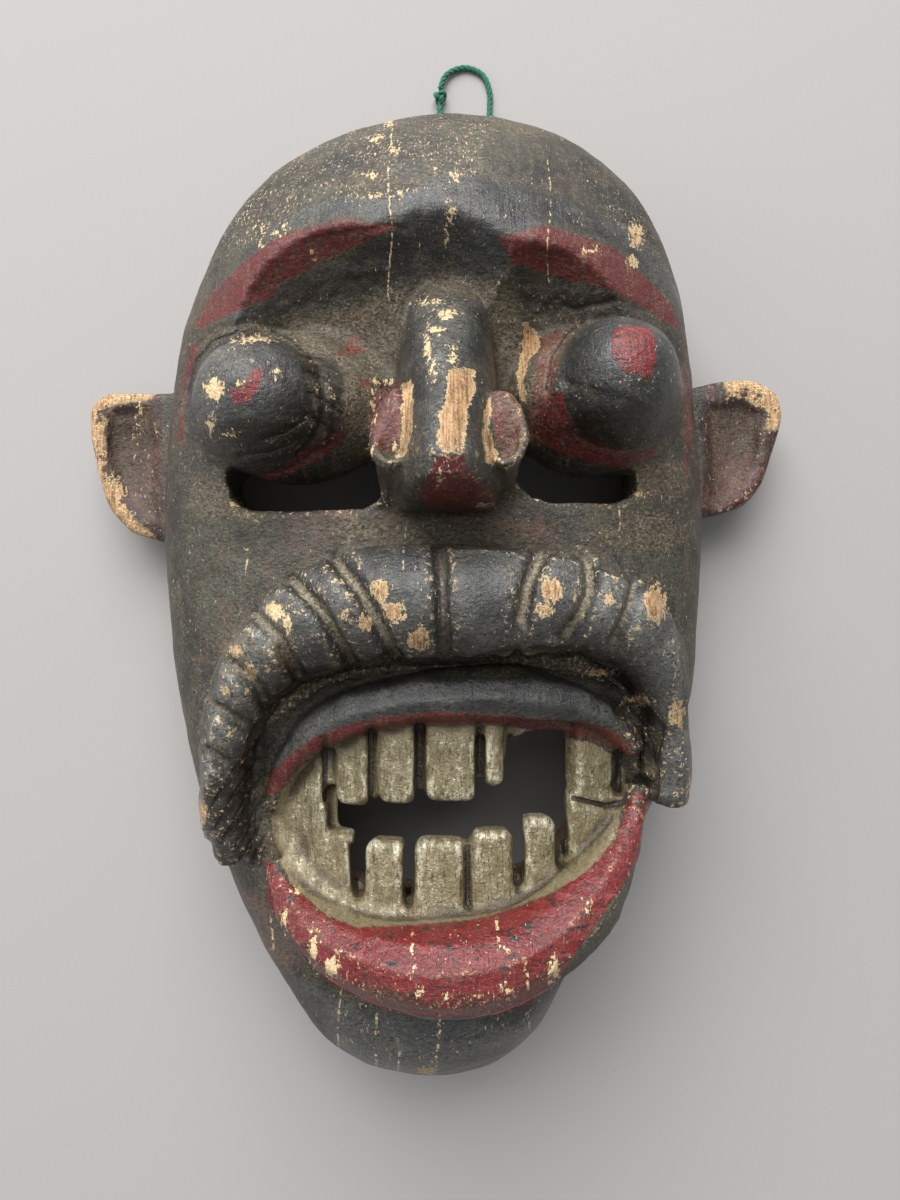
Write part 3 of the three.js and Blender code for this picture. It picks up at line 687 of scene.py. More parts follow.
class Shader:
    """A material being wired up."""

    def __init__(self, name: str) -> None:
        """Starts a material with one Principled shader.

        Args:
            name: the material's name.
        """
        self.material = bpy.data.materials.new(name)
        self.material.use_nodes = True
        self.tree = self.material.node_tree
        self.surface = self.tree.nodes["Principled BSDF"]
        self.places = self.node("ShaderNodeTexCoord", {}, {}).outputs["Object"]

    def node(self, kind: str, settings: dict, sockets: dict) -> bpy.types.Node:
        """Adds a node.

        Args:
            kind: the node's type.
            settings: its own settings, set first.
            sockets: values or links of its inputs, by name or number.

        Returns:
            The new node.
        """
        node = self.tree.nodes.new(kind)
        for key, value in settings.items():
            setattr(node, key, value)
        for key, value in sockets.items():
            self.feed(node.inputs[key], value)
        return node

    def feed(self, socket: bpy.types.NodeSocket, value: object) -> None:
        """Links a value or another node's output to a socket, or sets it.

        Args:
            socket: the input.
            value: a Wire, an output, a colour or a number.
        """
        if isinstance(value, Wire):
            value = value.socket
        if isinstance(value, bpy.types.NodeSocket):
            self.tree.links.new(value, socket)
        elif isinstance(value, tuple) and socket.type == "RGBA":
            socket.default_value = (*value[:3], 1.0)
        else:
            socket.default_value = value

    def stored(self, name: str) -> Wire:
        """A number that the piece's points carry."""
        node = self.node("ShaderNodeAttribute", {"attribute_name": name}, {})
        return Wire(self, node.outputs["Fac"])

    def placed(self, size: Tone | float, shift: float) -> bpy.types.NodeSocket:
        """Object coordinates counted in millimetre sizes, moved on by a shift.

        Args:
            size: one size for all directions, or one for each.
            shift: moves the pattern to another part of itself.

        Returns:
            The scaled coordinates.
        """
        sizes = (size, size, size) if isinstance(size, (int, float)) else size
        scaled = self.node(
            "ShaderNodeVectorMath",
            {"operation": "MULTIPLY_ADD"},
            {0: self.places, 1: tuple(1.0 / (s * MM) for s in sizes), 2: (shift, shift * 0.7, shift * 1.3)},
        )
        return scaled.outputs[0]

    def clouds(self, size: Tone | float, shift: float, detail: float = 3.0, rough: float = 0.55) -> Wire:
        """Chance clouds from 0 to 1 of a size in millimetres."""
        node = self.node(
            "ShaderNodeTexNoise",
            {"noise_dimensions": "3D"},
            {"Vector": self.placed(size, shift), "Scale": 1.0, "Detail": detail, "Roughness": rough},
        )
        return Wire(self, node.outputs["Fac"])

    def cells(self, size: Tone | float, shift: float) -> Wire:
        """Distance to the nearest of a scatter of points, in cell sizes of millimetres."""
        node = self.node(
            "ShaderNodeTexVoronoi",
            {"feature": "F1"},
            {"Vector": self.placed(size, shift), "Scale": 1.0},
        )
        return Wire(self, node.outputs["Distance"])

    def mix(self, share: Wire | float, first: object, second: object) -> bpy.types.NodeSocket:
        """One colour going over to another."""
        node = self.node("ShaderNodeMix", {"data_type": "RGBA"}, {0: share, 6: first, 7: second})
        return node.outputs[2]

    def layers(self, colour: object, *coats: tuple[Wire | float, object]) -> object:
        """A colour with others laid over it in order, each as far as its share goes.

        Args:
            colour: what lies lowest.
            coats: pairs of a share and a colour.

        Returns:
            The colour on top.
        """
        for share, coat in coats:
            colour = self.mix(share, colour, coat)
        return colour

    def finish(self, colour: object, roughness: Wire | float, height: Wire | None, depth: float) -> None:
        """Wires the surface up.

        Args:
            colour: its colour.
            roughness: how matt it is.
            height: its fine relief, or None.
            depth: what 1 of the relief stands for, in millimetres.
        """
        self.feed(self.surface.inputs["Base Color"], colour)
        self.feed(self.surface.inputs["Roughness"], roughness)
        if height is not None:
            relief = {"Distance": depth * MM, "Strength": 1.0, "Height": height}
            bump = self.node("ShaderNodeBump", {}, relief)
            self.feed(self.surface.inputs["Normal"], bump.outputs["Normal"])


@dataclass(frozen=True)
class OldPaint:
    """Old oil paint on carved wood: dusty, rubbed at the edges and flaked to the pale ground, with painted
    sheen, glints and shade.
    """

    black: Tone = (0.016, 0.016, 0.014)
    green: Tone = (0.058, 0.056, 0.040)
    brown: Tone = (0.085, 0.058, 0.037)
    cool: Tone = (0.017, 0.019, 0.020)
    # The cool paint's lighter tone: painted sheen and rubbed wear.
    cool_rub_and_sheen: Tone = (0.132, 0.136, 0.126)
    red: Tone = (0.165, 0.012, 0.013)
    # Painted sheen on the lip's red.
    red_sheen: Tone = (0.29, 0.055, 0.055)
    dark_red: Tone = (0.125, 0.012, 0.013)
    maroon: Tone = (0.050, 0.017, 0.015)
    rose: Tone = (0.17, 0.080, 0.072)
    # Painted glints on the silver.
    glint: Tone = (0.66, 0.61, 0.46)
    silver: Tone = (0.44, 0.385, 0.25)
    silver_dark: Tone = (0.150, 0.120, 0.058)
    # Dark tarnish, and painted shade in the teeth's recesses.
    tarnish_and_shade: Tone = (0.045, 0.033, 0.016)
    gum: Tone = (0.250, 0.200, 0.118)
    grime: Tone = (0.060, 0.030, 0.018)
    ear_brown: Tone = (0.032, 0.014, 0.012)
    dust: Tone = (0.165, 0.122, 0.072)
    ash: Tone = (0.27, 0.25, 0.175)
    # Dark dirt, and painted shade in hollows, gashes and furrows.
    dirt_and_shade: Tone = (0.020, 0.015, 0.010)
    wood: Tone = (0.50, 0.29, 0.135)
    wood_dark: Tone = (0.17, 0.085, 0.040)
    cream: Tone = (0.66, 0.54, 0.32)
    ragged_reach: float = 6.0  # how far a zone's edge strays in small steps, in the view's units
    wander_reach: float = 4.0  # and in broad ones
    flake_limit: float = 6.0  # the deepest that a flaked spot counts
    splinter_reach: float = 22.0  # how far long splinters eat into a flaked spot
    crumb_reach: float = 26.0  # and small crumbs
    bump_depth: float = 0.6  # what 1 of the fine relief stands for, in millimetres

    def build(self) -> bpy.types.Material:
        """Layers the paint, dirt, wear, painted sheen and painted shade by what the mask's points carry.

        Returns:
            The finished material.
        """
        s = Shader("old_paint")

        # Chance patterns that the layers share, from fine grit to broad clouds.
        ragged = s.clouds(2.0, 3.1, 4.0, 0.7) - 0.5
        wander = s.clouds(6.5, 8.4, 3.0) - 0.5
        broad = s.clouds(34.0, 1.7, 5.0, 0.62)
        grit = s.clouds(0.8, 5.2, 3.0, 0.7)
        patch = s.clouds(12.0, 6.6, 5.0, 0.68)
        streaks = s.clouds((2.4, 30.0, 30.0), 2.9, 4.0, 0.66)
        edge = ragged * self.ragged_reach + wander * self.wander_reach
        splinter = s.clouds((1.1, 3.6, 3.0), 15.2, 4.0, 0.7) - 0.5
        crumbs = s.clouds(1.9, 19.4, 5.0, 0.75) - 0.5
        motes = s.clouds((1.3, 1.0, 1.1), 22.7, 3.0, 0.75)
        pits = s.clouds((1.8, 0.9, 1.1), 25.1, 3.0, 0.75)
        ears = s.stored("ears")
        relief = s.stored("relief")
        coarse = s.stored("relief_coarse")

        def zone(kind: Zone, soft: float) -> Wire:
            """Where a zone lies, ragged at its edge."""
            return (s.stored(kind.value) + edge).above(-soft, soft)

        def broken(kind: Zone) -> Wire:
            """How deep a spot has flaked, in splinters that thin out towards its edge."""
            frayed = splinter * self.splinter_reach + crumbs * self.crumb_reach
            return s.stored(kind.value).least(self.flake_limit) + frayed

        # The dark ground colours of the whole face, the cool paint lighter where rubbed and where sheen is
        # painted, and the worn reds on them.
        cool = zone(Zone.COOL, 5.0)
        crowd = s.stored(Zone.FLECK.value).above(-8.0, 14.0)
        # Painted sheen and rubbed wear: the cool paint lightens where it stands proud, in patches and among
        # the flecks.
        rub_and_sheen = coarse.above(0.2, 3.2) * 0.55 + patch.above(0.40, 0.75) * 0.35 + crowd * 0.35
        faded = s.layers(
            self.maroon,
            (broad.above(0.40, 0.62), self.dark_red),
            (patch.above(0.46, 0.66), self.rose),
            (ears * ((patch + broad).below(0.92, 1.20) * 0.45 + 0.5), self.ear_brown),
        )

        # The lower lip's brighter red, with lighter streaks of painted sheen, streaked darker and smeared.
        red = zone(Zone.RED, 1.0)
        smeared = s.stored(Zone.FLECK.value).above(-6.0, 8.0) * patch.above(0.36, 0.56)
        lip = s.layers(
            self.red,
            # Painted sheen: lighter streaks along the lip.
            (s.clouds((15.0, 1.8, 8.0), 9.3, 5.0, 0.68).above(0.50, 0.72) * 0.8, self.red_sheen),
            (s.clouds((11.0, 2.0, 6.0), 14.4, 4.0, 0.7).above(0.46, 0.62) * 0.85, self.dark_red),
            (s.clouds((8.0, 2.4, 6.0), 4.4, 4.0, 0.6).above(0.61, 0.64), self.black),
            (smeared * 0.75, self.grime),
        )

        # Tarnished silver on the teeth and gums, with painted glints, and painted shade in the recesses.
        silver = zone(Zone.SILVER, 1.5)
        foil = s.clouds((3.4, 8.0, 8.0), 7.7, 6.0, 0.75)
        brushed = s.clouds((0.9, 4.5, 4.0), 11.3, 4.0, 0.7)
        gum = (s.stored(Zone.SILVER.value) + wander * 8.0).below(5.0, 15.0)
        metal = s.layers(
            self.silver_dark,
            (foil.above(0.36, 0.74) * 0.7, self.silver),
            # Painted glints: bright specks, and highlights on the raised edges.
            (motes.above(0.54, 0.64) * foil.above(0.46, 0.58) * 0.85, self.glint),
            (relief.above(0.12, 0.45) * foil.above(0.46, 0.56) * 0.7, self.glint),
            (brushed.above(0.52, 0.64) * 0.75, self.tarnish_and_shade),
            (pits.above(0.56, 0.64) * 0.6, self.tarnish_and_shade),
            (gum * 0.55 * motes.above(0.36, 0.54), self.gum),
            # Painted shade in small recesses and in the deep gaps between the teeth.
            (relief.below(-0.34, -0.06) * 0.85, self.tarnish_and_shade),
            (coarse.below(-3.0, -0.6) * 0.8, self.tarnish_and_shade),
        )

        # Dust lies in the hollows, in the grooves and in broad veils, dirt in the cuts; painted shade
        # darkens deep hollows and some gashes and furrows.
        hollow = relief.below(-0.20, 0.02)
        veil = (s.stored(Zone.DUST.value).least(14.0) + wander * 22.0 + ragged * 16.0).above(-8.0, 12.0)
        veil = veil * (1.0 - ears * 0.5)
        groove = (s.stored("groove") + ragged * 2.6 + crumbs * 2.2).below(0.55, 1.15)
        streaky = streaks.above(0.50, 0.70) * 0.6 * (1.0 - cool * 0.8) * (1.0 - red)
        thick = (hollow * 0.5).most(veil * 0.72).most(streaky).most(patch.above(0.46, 0.76) * 0.3)
        dust = thick * (motes.above(0.36, 0.58) * 0.75 + grit.above(0.3, 0.6) * 0.25)
        dust = dust * (1.0 - silver * 0.5)
        open_face = 1.0 - (cool * 0.55).most(silver).most(red * 0.85)
        scatter = s.clouds((9.0, 5.0, 7.0), 27.2, 4.0, 0.7).above(0.36, 0.60) * (1.0 - ears * 0.85)
        loose = (0.24 + veil.most(crowd) * 0.34) * open_face * scatter
        # Painted shade in the deep hollows.
        crevice_shade = coarse.below(-3.4, -1.0) * (1.0 - groove) * (1.0 - veil * 0.8)
        cuts = s.clouds((7.0, 1.0, 5.0), 3.6, 5.0, 0.7)
        # Real gashes, with painted shade under the brows, on the eyes' lower halves and in the right
        # moustache end.
        gash_and_shade = s.stored(Zone.GASH_AND_SHADE.value).above(-3.0, 3.0) * (cuts.above(0.38, 0.54) * 0.5 + 0.4)
        # Gouge strokes in dirt, and painted shade in the furrows between the teeth.
        stroke_and_shade = (s.stored("stroke_and_shade") + ragged * 2.0 + splinter * 1.5).below(0.8, 2.0)
        lines = s.clouds((24.0, 0.8, 12.0), 18.3, 3.0, 0.6).above(0.60, 0.66) * broad.above(0.40, 0.60)
        paint = s.layers(
            self.black,
            (broad.above(0.36, 0.64), self.green),
            (patch.above(0.48, 0.70) * 0.8, self.brown),
            (cool, s.mix(rub_and_sheen, self.cool, self.cool_rub_and_sheen)),
            (zone(Zone.MAROON, 3.0), faded),
            (zone(Zone.BLUSH, 9.0) * patch.above(0.34, 0.60) * 0.45, self.rose),
            (zone(Zone.DARK_RED, 1.2) * pits.below(0.52, 0.62), self.dark_red),
            (red, lip),
            (silver, metal),
            (dust, self.dust),
            (motes.above(0.51, 0.60) * loose, self.ash),
            (pits.above(0.52, 0.60) * 0.8 * (1.0 - silver), self.dirt_and_shade),
            (groove * motes.above(0.32, 0.56), s.mix(grit.above(0.4, 0.6), self.dust, self.ash)),
            (crevice_shade * 0.6, self.dirt_and_shade),
            (gash_and_shade, self.dirt_and_shade),
            (stroke_and_shade * 0.9, self.dirt_and_shade),
            (lines * 0.25 * (1.0 - silver), self.dirt_and_shade),
        )

        # Wear: the pale ground in flecks and runs, then bare wood.
        calm = 1.0 - s.stored("calm")
        rubbed = relief.above(0.12, 0.45) * calm
        flecked = s.clouds((0.75, 2.4, 2.0), 4.8, 3.0, 0.7)
        bunch = s.clouds(18.0, 21.0, 3.0).above(0.46, 0.60) * 0.03
        flecks = (flecked + crowd * (0.052 - cool * 0.03) + bunch).above(0.682, 0.700) * calm
        run = (s.stored("run_gap") + ragged * 3.4).size().below(0.6, 1.3) * s.stored("run_on")
        run = run * s.clouds((3.0, 2.6, 3.0), 5.5, 4.0, 0.7).above(0.49, 0.54)
        chipped = rubbed * crumbs.above(0.055, 0.10) * calm
        lost = broken(Zone.CREAM).above(0.5, 1.5)
        cream = lost.most(run).most(flecks * 0.9).most(chipped * 0.85) * (1.0 - silver * 0.85)
        grain = s.clouds((0.7, 11.0, 8.0), 1.3, 5.0, 0.68)
        timber = s.layers(
            self.wood_dark,
            (grain.above(0.36, 0.62), self.wood),
            (grit.above(0.52, 0.66) * 0.4, self.cream),
            (motes.below(0.36, 0.46) * 0.5, self.dirt_and_shade),
        )
        plane = s.stored(Zone.WOOD.value) + crumbs * 14.0 + wander * 6.0 + splinter * 8.0
        flake = broken(Zone.CHIP)
        edges = (coarse + crumbs * 5.0 + wander * 5.0).above(0.9, 1.5) * zone(Zone.EDGE, 3.0)
        bare = plane.above(-0.5, 0.8).most(flake.above(0.5, 1.5)).most(edges)
        heart = plane.above(0.0, 3.0).most(flake.above(2.0, 5.0)).most(edges * motes.above(0.4, 0.5))
        rim = s.mix(grit.above(0.48, 0.6), self.cream, self.wood)
        colour = s.layers(
            paint,
            (cream, s.mix(grit.above(0.45, 0.62), self.cream, self.wood)),
            (bare, s.mix(heart, rim, timber)),
        )

        height = (1.0 - bare) * 0.5 + (1.0 - lost) * 0.3 + grit * 0.3 + grain * 0.25 + motes * 0.5
        height = height + s.clouds(5.0, 7.1, 4.0, 0.66) * 1.6 + streaks * 0.5 - stroke_and_shade * 0.6
        rough = 0.46 + dust * 0.40 + cream * 0.2 + bare * 0.3 - cool.most(red).most(silver) * 0.15
        rough = rough + (motes - 0.5) * 0.3
        s.finish(colour, rough, height, self.bump_depth)
        s.feed(s.surface.inputs["Metallic"], silver * foil.above(0.4, 0.6) * 0.35 * (1.0 - dust))
        return s.material


@dataclass(frozen=True)
class HollowWood:
    """Bare wood of the carved back, darkened by handling, with gouge marks."""

    dark: Tone = (0.075, 0.042, 0.022)
    light: Tone = (0.19, 0.115, 0.062)

    def build(self) -> bpy.types.Material:
        """Wires the finish up.

        Returns:
            The finished material.
        """
        s = Shader("hollow_wood")
        grain = s.clouds((1.1, 24.0, 1.1), 3.3, 5.0, 0.65)
        stain = s.clouds(32.0, 6.0, 4.0)
        marks = s.cells((9.0, 20.0, 9.0), 2.0)
        coats = (grain.above(0.3, 0.7), self.light), (stain.above(0.45, 0.75) * 0.6, self.dark)
        colour = s.layers(self.dark, *coats)
        s.finish(colour, 0.72 + (grain - 0.5) * 0.3, grain * 0.4 + marks * 1.4, 0.8)
        return s.material


@dataclass(frozen=True)
class Twine:
    """Green cotton twine."""

    green: Tone = (0.010, 0.095, 0.055)
    pale: Tone = (0.035, 0.190, 0.120)

    def build(self) -> bpy.types.Material:
        """Wires the finish up.

        Returns:
            The finished material.
        """
        s = Shader("green_twine")
        fibre = s.clouds((0.35, 0.9, 0.35), 1.0, 4.0, 0.7)
        worn = s.clouds(5.0, 4.0)
        coats = (fibre.above(0.35, 0.7), self.pale), (worn.above(0.55, 0.75) * 0.4, self.pale)
        colour = s.layers(self.green, *coats)
        s.finish(colour, 0.85, fibre, 0.15)
        return s.material


@dataclass(frozen=True)
class PaleFloor:
    """The plain pale floor."""

    colour: Tone = (0.35, 0.335, 0.325)

    def build(self) -> bpy.types.Material:
        """Wires the finish up.

        Returns:
            The finished material.
        """
        s = Shader("pale_floor")
        s.finish(self.colour, 0.9, None, 0.0)
        return s.material


@dataclass
class CarvedMask:
    """The mask itself: one carved and painted piece of wood."""

    grain: float = 1.25  # spacing of the worked surface's points, in millimetres
    hollow_share: float = 0.10  # of the back's faces that stay
    side_share: float = 0.35  # of the side walls' faces that stay
    face_share: float = 0.57  # of the face's own faces that stay
    side_height: float = 0.042  # the side walls' top
    side_low: float = 0.030  # below this the side walls have none of the face's paint
    side_drop: float = 40.0  # how far paint is moved out of reach there, in the view's units
    hollow_height: float = 0.066  # nothing above this belongs to the hollow
    rim_height: float = 0.8 * MM  # all below this is pressed flat
    plain_rounds: int = 240  # of smoothing the even wood round the carving
    ear_rounds: int = 26  # of smoothing the ears
    cut_rounds: int = 90  # of smoothing all but the sharp creases
    roll_rounds: int = 40  # of smoothing the moustache
    soft_rounds: int = 80  # of smoothing the soft passages
    facet_size: float = 15.0  # the knife's flat bites, in millimetres like the depths below
    facet_depth: float = 0.7
    groove_depth: float = 2.6  # between the moustache's lobes
    roll_height: float = 0.6  # of the moustache, everywhere
    lobe_height: float = 1.8  # of a lobe's middle over that
    gash_depth: float = 0.8
    stroke_depth: float = 0.8
    stroke_half: float = 2.4  # half a gouge stroke's width, in the view's units
    plane_depth: float = 0.5  # of the spots of planed bare wood
    dish_depth: float = 2.6  # of the ears
    band_height: float = 2.6  # of the passage between moustache and lip
    tooth_depth: float = 1.5  # of the furrows between teeth
    tooth_half: float = 4.0  # half such a furrow's width, in the view's units
    tooth_calm: float = 0.7  # how much smoother the teeth are than the rest
    piece: bpy.types.Object = field(init=False)

    def build(self) -> bpy.types.Object:
        """Carves and dresses the piece.

        Returns:
            The mask, in its two materials.
        """
        self.piece = copy_of("carved_mask", "painted_mask")
        solid = BVHTree.FromObject(self.piece, bpy.context.evaluated_depsgraph_get())
        self.rough_out()
        apply_modifier(self.piece, "REMESH", mode="VOXEL", voxel_size=self.grain * MM, adaptivity=0.0)
        self.carve()
        self.mark()
        self.thin(self.behind(solid, Clay(self.piece)), self.hollow_share)
        clay = Clay(self.piece)
        self.thin((clay.places[:, 2] < self.side_height) & ~self.behind(solid, clay), self.side_share)
        self.thin(Clay(self.piece).places[:, 2] >= self.side_height, self.face_share)
        self.dress(solid)
        activate(self.piece)
        bpy.ops.object.shade_smooth()
        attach(self.piece, "root")
        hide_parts("carved_mask")
        return self.piece

    def rough_out(self) -> None:
        """Saws the gaps between the teeth and fills the nostrils to shallow dishes."""
        deselect()
        saws = []
        for across, low, high, wide, back, front in TOOTH_GAPS:
            place = Vector((across, (low + high) / 2, (back + front) / 2)) * MM
            size = Vector((wide, high - low, front - back)) * MM
            bpy.ops.mesh.primitive_cube_add(size=1.0, location=place, scale=size)
            saws.append(bpy.context.object)
        for saw in saws:
            apply_modifier(self.piece, "BOOLEAN", operation="DIFFERENCE", object=saw)
        for saw in saws:
            bpy.data.objects.remove(saw)
        plugs = []
        for place, size, turn in NOSTRIL_FLOORS:
            bpy.ops.mesh.primitive_uv_sphere_add(
                segments=32, ring_count=16, radius=MM,
                location=Vector(place) * MM, scale=size, rotation=(0, turn, 0),
            )
            plugs.append(bpy.context.object)
        join([self.piece, *plugs])

    def carve(self) -> None:
        """Evens out the flat cuts and works in the grooves and the knife's unevenness."""
        clay = Clay(self.piece)
        front = ease(clay.places[:, 2], *FRONT)
        teeth = clay.within(AREAS[Zone.SILVER], -4.0, 4.0) * front
        ears = clay.within([AREAS[Zone.MAROON][0], AREAS[Zone.MAROON][1]], -12.0, -4.0)
        ears *= ease(clay.places[:, 2], 0.050, 0.040)
        loose = 1.0 - 0.6 * teeth
        clay.smooth(loose, 3)
        plain = (1.0 - clay.within(DETAILED, -12.0, 0.0)) * (1.0 - ears)
        plain *= ease(clay.places[:, 2], 0.004, 0.014)
        clay.smooth(plain, self.plain_rounds, full=False)
        clay.smooth(ears, self.ear_rounds, full=False)
        sharp = np.maximum(clay.creases(9.0, 14.0, 2), teeth)
        clay.smooth((1.0 - sharp) * (1.0 - ears), self.cut_rounds, full=False)
        roll = clay.within([AREAS[Zone.COOL][0]], 1.0, 9.0) * front
        clay.smooth(roll, self.roll_rounds, full=False)
        clay.smooth(clay.within(SOFT_PASSAGES, -4.0, 8.0) * front, self.soft_rounds, full=False)
        clay.smooth(teeth, 5, full=False)
        clay.smooth(loose, 5)
        view = clay.view()
        depth = sum(height * clay.waves(size, seed) for height, size, seed in UNEVENNESS)
        depth += (self.facet_depth * clay.facets(self.facet_size, 2.0) - 0.3) * front
        lobes = np.full(clay.total, 2 * FAR)
        for line, half, strength in LOBE_GROOVES:
            lobes = np.minimum(lobes, line_gap(view, line))
            depth -= self.groove_depth * strength * furrow(view, line, half) * front
        depth += roll * (self.roll_height + self.lobe_height * ease(lobes, 3.0, 14.0))
        depth += clay.within(AREAS[Zone.GASH_AND_SHADE], -2.0, 4.0) * self.gash_depth * clay.waves(4.5, 8.0)
        for line in STROKES:
            depth -= self.stroke_depth * furrow(view, line, self.stroke_half) * front
        for line, half, deep in KNIFE_CUTS:
            depth -= deep * furrow(view, line, half) * front
        depth -= self.plane_depth * clay.within(AREAS[Zone.WOOD], -1.0, 3.0) * front
        upward = ease(clay.normals()[:, 2], 0.3, 0.7)
        depth -= self.dish_depth * clay.within(EAR_DISHES, -3.0, 12.0) * ears * upward
        depth += self.band_height * clay.within([AREAS[Zone.DUST][0]], -4.0, 6.0) * front
        depth *= 1.0 - self.tooth_calm * teeth
        for line in TOOTH_LINES:
            depth -= self.tooth_depth * furrow(view, line, self.tooth_half) * front
        clay.push(depth)
        clay.places[:, 2] = np.where(clay.places[:, 2] < self.rim_height, 0.0, clay.places[:, 2])
        clay.store()

    def behind(self, solid: BVHTree, clay: Clay) -> np.ndarray:
        """Which points lie in the hollow or on the rim.

        Args:
            solid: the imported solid, for rays.
            clay: the worked surface.

        Returns:
            True for each such point.
        """
        up, down = Vector((0, 0, 1)), Vector((0, 0, -1))
        normals = clay.normals()
        found = np.zeros(clay.total, bool)
        for i in np.flatnonzero(clay.places[:, 2] < self.hollow_height):
            start = Vector(clay.places[i] + normals[i] * 2.0 * MM)
            found[i] = solid.ray_cast(start, down)[0] is None and solid.ray_cast(start, up)[0] is not None
        return found

    def thin(self, chosen: np.ndarray, share: float) -> None:
        """Leaves a plain region with fewer faces.

        Args:
            chosen: True for each of its points.
            share: of its faces that stay.
        """
        mesh = self.piece.data
        activate(self.piece)
        mesh.vertices.foreach_set("select", chosen)
        mesh.edges.foreach_set("select", np.zeros(len(mesh.edges), bool))
        mesh.polygons.foreach_set("select", np.zeros(len(mesh.polygons), bool))
        bpy.context.tool_settings.mesh_select_mode = (True, False, False)
        bpy.ops.object.mode_set(mode="EDIT")
        bpy.ops.mesh.select_mode(type="VERT")
        bpy.ops.mesh.decimate(ratio=share)
        bpy.ops.object.mode_set(mode="OBJECT")

    def mark(self) -> None:
        """Stores where each paint, chip, run and painted shade lies, and how proud each point stands."""
        clay = Clay(self.piece)
        view = clay.view()
        side = self.side_drop * ease(clay.places[:, 2], self.side_height, self.side_low)
        ears = np.maximum(ease(view[:, 0], 175.0, 160.0), ease(view[:, 0], 694.0, 706.0))
        side *= 1.0 - ears
        for kind in Zone:
            nearest = np.full(clay.total, -FAR)
            for outline in AREAS.get(kind, []):
                nearest = np.maximum(nearest, outline_depth(view, outline))
            for x, y, wide, tall in SPOTS.get(kind, []):
                reach = np.hypot((view[:, 0] - x) / wide, (view[:, 1] - y) / tall)
                nearest = np.maximum(nearest, (1.0 - reach) * min(wide, tall))
            clay.keep(kind.value, np.clip(nearest - side, -FAR, FAR))
        gap = np.full(clay.total, FAR)
        shown = np.zeros(clay.total)
        for x, top, bottom, half in RUNS:
            aside = (view[:, 0] - x - 2.0 * np.sin(view[:, 1] / 17.0 + x)) / half
            along = ease(view[:, 1], top - 4, top + 4) * ease(view[:, 1], bottom + 4, bottom - 4)
            closer = (np.abs(aside) < np.abs(gap)) & (along > 0)
            gap = np.where(closer, aside, gap)
            shown = np.maximum(shown, along * ease(np.abs(aside), 9.0, 5.0))
        clay.keep("run_gap", gap)
        clay.keep("run_on", shown)
        grooves = [line_gap(view, line) / half + 1.0 - strength for line, half, strength in LOBE_GROOVES]
        clay.keep("groove", np.min(grooves, axis=0, initial=5.0))
        strokes = [line_gap(view, line) for line in STROKES]
        # The furrows between the teeth are painted dark as shade.
        strokes += [line_gap(view, line) - 1.0 for line in TOOTH_LINES]
        clay.keep("stroke_and_shade", np.min(strokes, axis=0, initial=9.0))
        calm = clay.within([AREAS[Zone.COOL][1], AREAS[Zone.DARK_RED][5]], -3.0, 3.0)
        calm = np.maximum(calm, clay.within(AREAS[Zone.DARK_RED][:2], -14.0, -6.0))
        clay.keep("calm", calm)
        clay.keep("ears", ears)
        clay.keep("relief", clay.relief(8))
        clay.keep("relief_coarse", clay.relief(80))

    def dress(self, solid: BVHTree) -> None:
        """Gives the front its paint and the back its bare wood.

        Args:
            solid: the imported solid, for rays.
        """
        mesh = self.piece.data
        mesh.materials.append(OldPaint().build())
        mesh.materials.append(HollowWood().build())
        hidden = self.behind(solid, Clay(self.piece))
        corners = [list(face.vertices) for face in mesh.polygons]
        slots = [int(sum(hidden[corner] for corner in face) * 2 > len(face)) for face in corners]
        mesh.polygons.foreach_set("material_index", slots)
        mesh.update()


